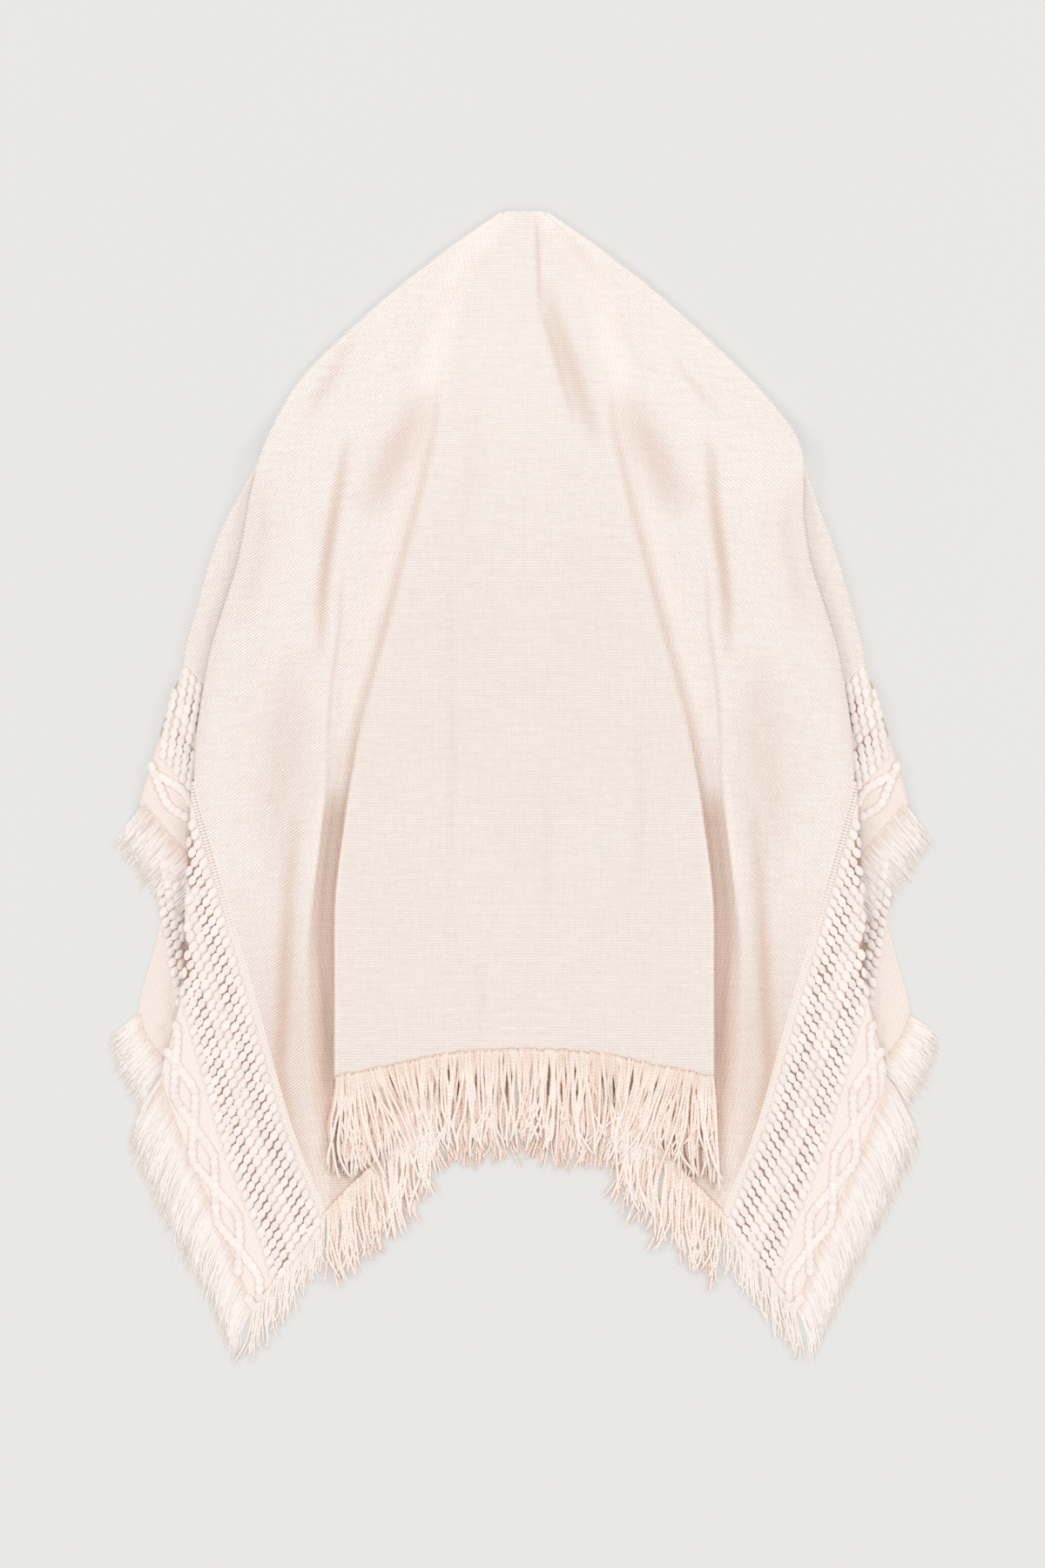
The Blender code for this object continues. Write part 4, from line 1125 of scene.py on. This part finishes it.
# For each sort of strand: how far up on the cloth it starts, least and most, how much its
# length and its direction vary, its tip's share of the radius, how much the radius varies,
# the sides of its mesh, and how far its two plies stand out.
CORD_STRAND = Strand((1.6, 4.2), 0.07, 0.035, 0.8, 0.08, 6, 0.1)
SILK_STRAND = Strand((0.4, 3.4), 0.11, 0.022, 0.35, 0.2, 4, 0.0)
LOWER_DEPTH = {"front_hem": 0.14}  # how deep in the others' shade a fringe lies
LEVEL_SHADE = 0.32  # how much darker the lowest cords of a fringe are
CORD_PITCH = 8.0
CLUMP = 4.2  # how many neighbours gather
TIP_SHARE = 0.55  # how much of its radius a strand keeps at its very end
FRONT_HEM_SHARE = 0.76  # the front's fringe starts on this much of its hem


def fringe_paths(ground, side, root, fringe, strand):
    """Paths of a fringe's strands in world places, (strands, points, 3), and how far under
    their neighbours they lie. root is the hem's line."""
    count, wander = fringe.count, fringe.wander
    share = (np.arange(count) + 0.5) / count + rng.normal(0, 0.15 / count, count)
    start = spread(root, np.clip(share, 0, 1))
    t = np.linspace(0, 1, fringe.steps)
    ends = np.array(fringe.fall)
    direction = toward(ends[0], ends[1], share[:, None])
    direction = unit(direction + rng.normal(0, strand.stray, (count, 2)))
    sideways = np.stack([-direction[:, 1], direction[:, 0]], axis=1)
    start[:, :2] -= direction * rng.uniform(*strand.root, (count, 1))
    reach = np.interp(share, (0, 1), fringe.length) * (1 + rng.normal(0, strand.uneven, count))
    swing = np.interp(share, *np.transpose(fringe.swing)) + rng.normal(0, wander * 0.8, count)

    groups = np.cumsum(rng.random(count) < 1 / CLUMP)
    middle = np.array([start[groups == group, :2].mean(axis=0) for group in groups])
    gather = (middle - start[:, :2]) * fringe.clump
    phase = rng.random((2, count, 1)) * 2 * math.pi
    pace = rng.uniform(0.4, 1.25, (count, 1))
    wave = wander * np.sin(phase[0] + pace * 2 * math.pi * t) * t**0.8
    wave += 0.16 * wander * np.sin(phase[1] + 2.6 * pace * 2 * math.pi * t) * t**0.5
    wave += 1.6 * wander * rng.normal(0, 1, (count, 1)) * np.maximum(t - 0.55, 0) ** 2 / 0.2
    wave -= wave[:, :1]
    plan = start[:, None, :2] + direction[:, None] * reach[:, None, None] * t[:, None]
    plan += sideways[:, None] * wave[..., None]
    plan[..., 0] += swing[:, None] * t**1.4 * (2 - t) ** 0.4
    plan += gather[:, None] * (t**2)[:, None]
    line = unit(root[-1, :2] - root[0, :2])
    square = np.array([-line[1], line[0]])
    square *= 1 if square @ ends.sum(axis=0) > 0 else -1
    plan += square * (fringe.spring * (1 - (1 - t) ** 3))[:, None]

    world = to_world(np.concatenate([plan, np.zeros(plan.shape[:2] + (1,))], axis=2), side)
    below = ground.heights(world[..., 0], world[..., 1])
    level = rng.random(count)
    rest = toward(*fringe.layer, level)[:, None] * np.minimum(t * 3, 1)
    falling = start[:, 2:] * (1 - np.minimum(t * 1.6, 1)) ** 1.5
    height = np.maximum(below + fringe.radius + rest, falling)
    height[:, 0] = start[:, 2] + CLOTH / 2 + fringe.radius * 0.3
    for _ in range(3):
        height[:, 1:-1] = (height[:, :-2] + 2 * height[:, 1:-1] + height[:, 2:]) / 4
    world[..., 2] = np.maximum(height, fringe.radius * 1.05)
    return world, 1 - level


def hang(name, fringe, halves, ground, material, nodes):
    """One fringe as a piece. halves gives each side that it hangs on, and its root there."""
    strand = SILK_STRAND if fringe.spring else CORD_STRAND
    hung = [fringe_paths(ground, side, root, fringe, strand) for side, root in halves]
    paths, depth = (np.concatenate(part) for part in zip(*hung))
    profile = 1 - (1 - strand.tip) * np.linspace(0, 1, fringe.steps) ** 3
    profile[-1] *= TIP_SHARE
    radii = fringe.radius * (1 + rng.normal(0, strand.variation, (len(paths), 1))) * profile
    if not fringe.spring:
        depth = LOWER_DEPTH.get(fringe.name, 0.0) + LEVEL_SHADE * depth**1.5
    piece = tubes(name, paths, radii, strand.sides, strand.lobes, material, depth)
    return finish_piece(piece, nodes)


def hang_all(roots, ground):
    """Every fringe. Those in the middle are one piece, and each other a piece on each side."""
    cord = twisted_cord("fringe_cord", 4.0, CORD_SHADE, 0.5)
    pale_cord = twisted_cord("pale_fringe_cord", 3.4, KNOTTED_SHADE, 0.4)
    silk = silky_yarn()
    fringes = {}
    for fringe in FRINGES:
        halves = [(side, roots[side][fringe.name]) for side, _ in SIDES]
        if fringe.name == "centre":
            nodes = [f"centre_fringe_{part}" for part in ("left", "middle", "right")]
            fringes["centre"] = hang("centre_fringe_cords", fringe, halves, ground, cord, nodes)
            continue
        kind, material = ("yarn", silk) if fringe.spring else ("cords", cord)
        if fringe.name == "band":
            material = pale_cord
        for half, (side, word) in zip(halves, SIDES):
            name, node = f"{fringe.node}_{kind}_{word}", f"{fringe.node}_{word}"
            fringes[fringe.name, side] = hang(name, fringe, [half], ground, material, [node])
    return fringes


def hem_lines(back, border, front, front_border, selvedge_from, first_hidden, turned_faces, front_rows):
    """The lines that one half's fringes hang from, from the centre outward or downward."""
    hem = back[-1]
    corner = [last_row(front_rows, row) for row in SIDE_CORNER]
    front_hem = front[-1, :FRONT_COLUMNS]
    return {
        "centre": hem[:first_hidden],
        "pleat": hem[first_hidden + FOLD_STEPS - 1 : first_hidden + FOLD_STEPS + 4],
        "drape": hem[first_hidden + 2 * FOLD_STEPS + 3 : -turned_faces],
        "band": border[-1, :-turned_faces],
        "front_hem": spread(front_hem, np.linspace(0, FRONT_HEM_SHARE, 20)),
        "selvedge": border[selvedge_from:, -turned_faces - 1],
        "strip": front_border[last_row(front_rows, STRIP_END), FRONT_BORDER_COLUMNS + FOLD_STEPS :],
        "corner": front_border[corner[0] : corner[1] + 1, FRONT_BORDER_COLUMNS],
    }


# ---- dressing the cloth ----
def back_warm_shade(points, crease_shade, hidden):
    """Where the back takes painted warm shade in its folds, from 0 to 1."""
    out, down = points[..., 0], points[..., 1]
    past = out - column_out(CREASE_COLUMN, down)
    edge = bell(out - column_out(EDGE_COLUMN, down), 10) * fade(down, 200, 320) * fade(down, 640, 520)
    groove = 0.34 * bell(past - 3.5, 5) + 0.1 * bell(past - 14, 12)
    groove *= fade(down, 150, 240) * fade(down, 640, 550)
    floor_end = np.interp(down, *np.transpose(FLOOR_EDGE))
    floor = fade(past, 0, 3) * fade(out, floor_end, floor_end - 2 - 13 * fade(down, 690, 760))
    floor *= fade(down, 575, 605) * (0.5 + 0.22 * np.exp(-np.maximum(past, 0) / 8))
    low = 0.3 * fade(past, 0, 8) * fade(down, 660, 830)
    closed = fade(down, 570, 630) * hidden
    below = 0.4 * (np.cumsum(hidden) > 0) * (past < 4) * fade(down, 580, 630)
    return np.clip(crease_shade + groove + low + np.maximum(floor, below) + 0.18 * edge + closed, 0, 1)


def dress_back(half, half_keep, hidden, cloth):
    """The back: both halves in one shell. Returns it and the grid of each half."""
    grids, warm_shades = {}, {}
    for side, _ in SIDES:
        grids[side], crease_shade = lift(half, side)
        warm_shades[side] = back_warm_shade(grids[side], crease_shade, hidden)
    grids[LEFT][:, 0] = grids[RIGHT][:, 0] = (grids[LEFT][:, 0] + grids[RIGHT][:, 0]) / 2
    plan = half[..., :2]
    askew = fade(half[..., 0] - column_out(CREASE_COLUMN, half[..., 1]), -8, 32)

    def joined(left, right):
        return np.concatenate([left[:, :0:-1], right], axis=1)

    points = joined(to_world(grids[LEFT], LEFT), to_world(grids[RIGHT], RIGHT))
    keep = np.concatenate([half_keep[:, ::-1], half_keep], axis=1)
    extra = {"askew": joined(askew, askew), "painted_warm_shade": joined(warm_shades[LEFT], warm_shades[RIGHT])}
    piece = shell("back_cloth", points, keep, joined(plan, plan), cloth, extra)
    return finish_piece(piece, ["back_panel"]), grids


def dress_side(part, side, points, keep, uv, material, extra):
    """A shell on one side of the garment, its columns in the order that turns its top up."""
    word = dict(SIDES)[side]
    order = slice(None, None, -1 if side == LEFT else 1)
    extra = {label: values[:, order] for label, values in extra.items()}
    world = to_world(points, side)[:, order]
    piece = shell(f"{part}_cloth_{word}", world, keep[:, order], uv[:, order], material, extra)
    return finish_piece(piece, [f"{part}_{word}"])


def back_border_uv(points, last_flat):
    """Cloth places on a back border: out from the ladder row and along it. Past the column
    where the cloth turns over, the first goes on by the length of cloth."""
    across, along = BACK_BAND.read(points[..., :2])
    across[:, last_flat:] = across[:, last_flat, None] + lengths_along(points[:, last_flat:], axis=1)
    return np.stack([across, along], axis=-1)


def front_border_uv(points):
    """Cloth places on a front's border: one reading for the part that lies on the floor,
    another for the strip that wraps over the outline, face up."""
    across, along = FRONT_BAND.read(points[..., :2])
    uv = np.stack([across + FRONT_BAND_OFFSET, along], axis=-1)
    wrapped = FRONT_BORDER_COLUMNS + FOLD_STEPS // 2 + 1
    uv[:, wrapped:] = np.stack(STRIP_BAND.read(points[:, wrapped:, :2]), axis=-1)
    return uv


def front_border_extra(uv):
    """What the material is told about each place on a front's border."""
    column = np.arange(uv.shape[1]) + np.zeros(uv.shape[:2])
    on_top = column >= FRONT_BORDER_COLUMNS + FOLD_STEPS
    inner = column >= FRONT_BORDER_COLUMNS + FOLD_STEPS + 3
    across, along = uv[..., 0], uv[..., 1]
    return {
        "ladder": 0.0 * column,
        "cabled": 1.0 * on_top,
        # painted shade on the ground round the bobbles
        "bobble_ground_shade": np.maximum(inner, 0.6 * ~on_top * (along > 5) * (along < 130)),
        # painted warm shade on the lying part and toward the strip's end
        "painted_warm_shade": 0.1 * ~on_top + 0.12 * on_top * fade(across, 66, 96),
    }


def build_garment():
    """Every piece of the garment."""
    cloth = woven_cloth()
    ground_cloth = border_cloth()
    half, half_keep, hidden, turned_faces = back_half()
    border, border_keep, selvedge_from = border_half(half, turned_faces)
    front, front_keep, boundary = front_half()
    strip_end = front[last_row(FRONT_ROWS, WRAP_END), FRONT_COLUMNS:]
    front_border, front_border_keep, front_rows = front_border_half(boundary, strip_end)
    for points in (half, border, front, front_border):
        raise_relief(points)

    back_piece, grids = dress_back(half, half_keep, hidden, cloth)
    pieces = {"back": back_piece}
    roots = {}
    plan = front[..., :2]
    on_top = (np.arange(plan.shape[1]) >= FRONT_COLUMNS) + np.zeros(plan.shape[:2])
    # painted warm shade on the strip on top and under the back's fringe
    front_extra = {"askew": on_top, "painted_warm_shade": 0.06 * on_top + fade(plan[..., 1], 835, 855)}
    uv = front_border_uv(front_border)
    for side, _ in SIDES:
        lifted, _ = lift(border, side)
        back_uv = back_border_uv(lifted, lifted.shape[1] - turned_faces - 1)
        ones = np.ones(lifted.shape[:2])
        back_extra = {"ladder": ones, "cabled": ones, "bobble_ground_shade": ones, "painted_warm_shade": 0 * ones}
        for part, *shape in (
            ("back_border", lifted, border_keep, back_uv, ground_cloth, back_extra),
            ("front", front, front_keep, plan, cloth, front_extra),
            ("front_border", front_border, front_border_keep, uv, ground_cloth, front_border_extra(uv)),
        ):
            pieces[part, side] = dress_side(part, side, *shape)
        roots[side] = hem_lines(
            grids[side], lifted, front, front_border, selvedge_from, int(np.argmax(hidden)), turned_faces,
            front_rows,
        )

    ground = Ground(pieces.values())
    yarn = bobble_yarn()
    on_border = {side: decorate(ground, side, word, yarn) for side, word in SIDES}
    declare(on_border, hang_all(roots, ground))


def declare(on_border, fringes):
    """Gather the border pieces and the fringes into lists, which are then left unused."""
    hanging = [fringes[name, side] for name in ("pleat", "drape") for side, _ in SIDES]
    [fringes["centre"]] + hanging
    for side, _ in SIDES:
        on_border[side] + [fringes["band", side], fringes["selvedge", side]]


# ---- floor, lights and camera, in metres ----
FLOOR_REACH = 9.0
FLOOR_COLOUR = (0.735, 0.731, 0.720, 1.0)
FLOOR_SHADE = (0.728, 0.724, 0.713, 1.0)
BLACK = (0.0, 0.0, 0.0, 1.0)
FLOOR_GLOW = 0.5  # the share of its light that the floor gives off, so its shadows stay soft
FLOOR_LIGHT = 1.108  # the light that falls on the open floor
WORLD_STRENGTH = 0.66
LIGHT_SIZE = 1.6
SOFT_LIGHTS = (
    ("light_left", (-3.6, 0.2, 3.0), 44.0),
    ("light_right", (3.6, 0.2, 3.0), 44.0),
    ("light_head", (0.0, 3.6, 3.4), 38.0),
    ("light_foot", (0.0, -3.6, 3.4), 38.0),
)
CAMERA_PLACE = (-0.0017, 0.008, 6.0)
FRAME_HEIGHT = 1.574  # height of the picture's frame on the floor


def make_floor():
    """The pale surface that the garment lies on."""
    mesh = bpy.data.meshes.new("floor")
    corners = [(x * FLOOR_REACH, y * FLOOR_REACH, 0) for x, y in ((-1, -1), (1, -1), (1, 1), (-1, 1))]
    mesh.from_pydata(corners, [], [(0, 1, 2, 3)])
    shader = Shader("pale_floor", roughness=1.0, specular=0.0)
    place = shader.node("TexCoord", output="Object")
    grain = shader.node("TexNoise", {"Scale": 1.5, "Vector": place})
    colour = shader.mix(grain, FLOOR_COLOUR, FLOOR_SHADE)
    shader.put(shader.surface["Base Color"], shader.mix(FLOOR_GLOW, colour, BLACK))
    shader.put(shader.surface["Emission Color"], colour)
    shader.put(shader.surface["Emission Strength"], FLOOR_GLOW * FLOOR_LIGHT)
    mesh.materials.append(shader.material)
    add_object("floor", mesh)


def light_scene():
    """Pale surroundings and four large soft lights that face the garment."""
    world = bpy.data.worlds.new("pale_studio")
    world.use_nodes = True
    sky = world.node_tree.nodes["Background"]
    sky.inputs["Color"].default_value = (1.0, 1.0, 1.0, 1.0)
    sky.inputs["Strength"].default_value = WORLD_STRENGTH
    bpy.context.scene.world = world
    for name, place, power in SOFT_LIGHTS:
        data = bpy.data.lights.new(name, "AREA")
        data.shape = "SQUARE"
        data.size = LIGHT_SIZE
        data.energy = power
        data.color = (1.0, 0.985, 0.97)
        item = add_object(name, data)
        item.location = place
        item.rotation_euler = (-Vector(place)).to_track_quat("-Z", "Y").to_euler()
    bpy.context.scene.view_settings.view_transform = "Standard"


def place_camera():
    """Straight above the garment, with its hem toward the foot of the picture."""
    data = bpy.data.cameras.new("camera")
    data.sensor_fit = "VERTICAL"
    data.sensor_height = 36.0
    data.lens = data.sensor_height * CAMERA_PLACE[2] / FRAME_HEIGHT
    data.clip_end = 50.0
    item = add_object("camera", data)
    item.location = CAMERA_PLACE
    bpy.context.scene.camera = item


place_camera()
light_scene()
make_floor()
build_garment()
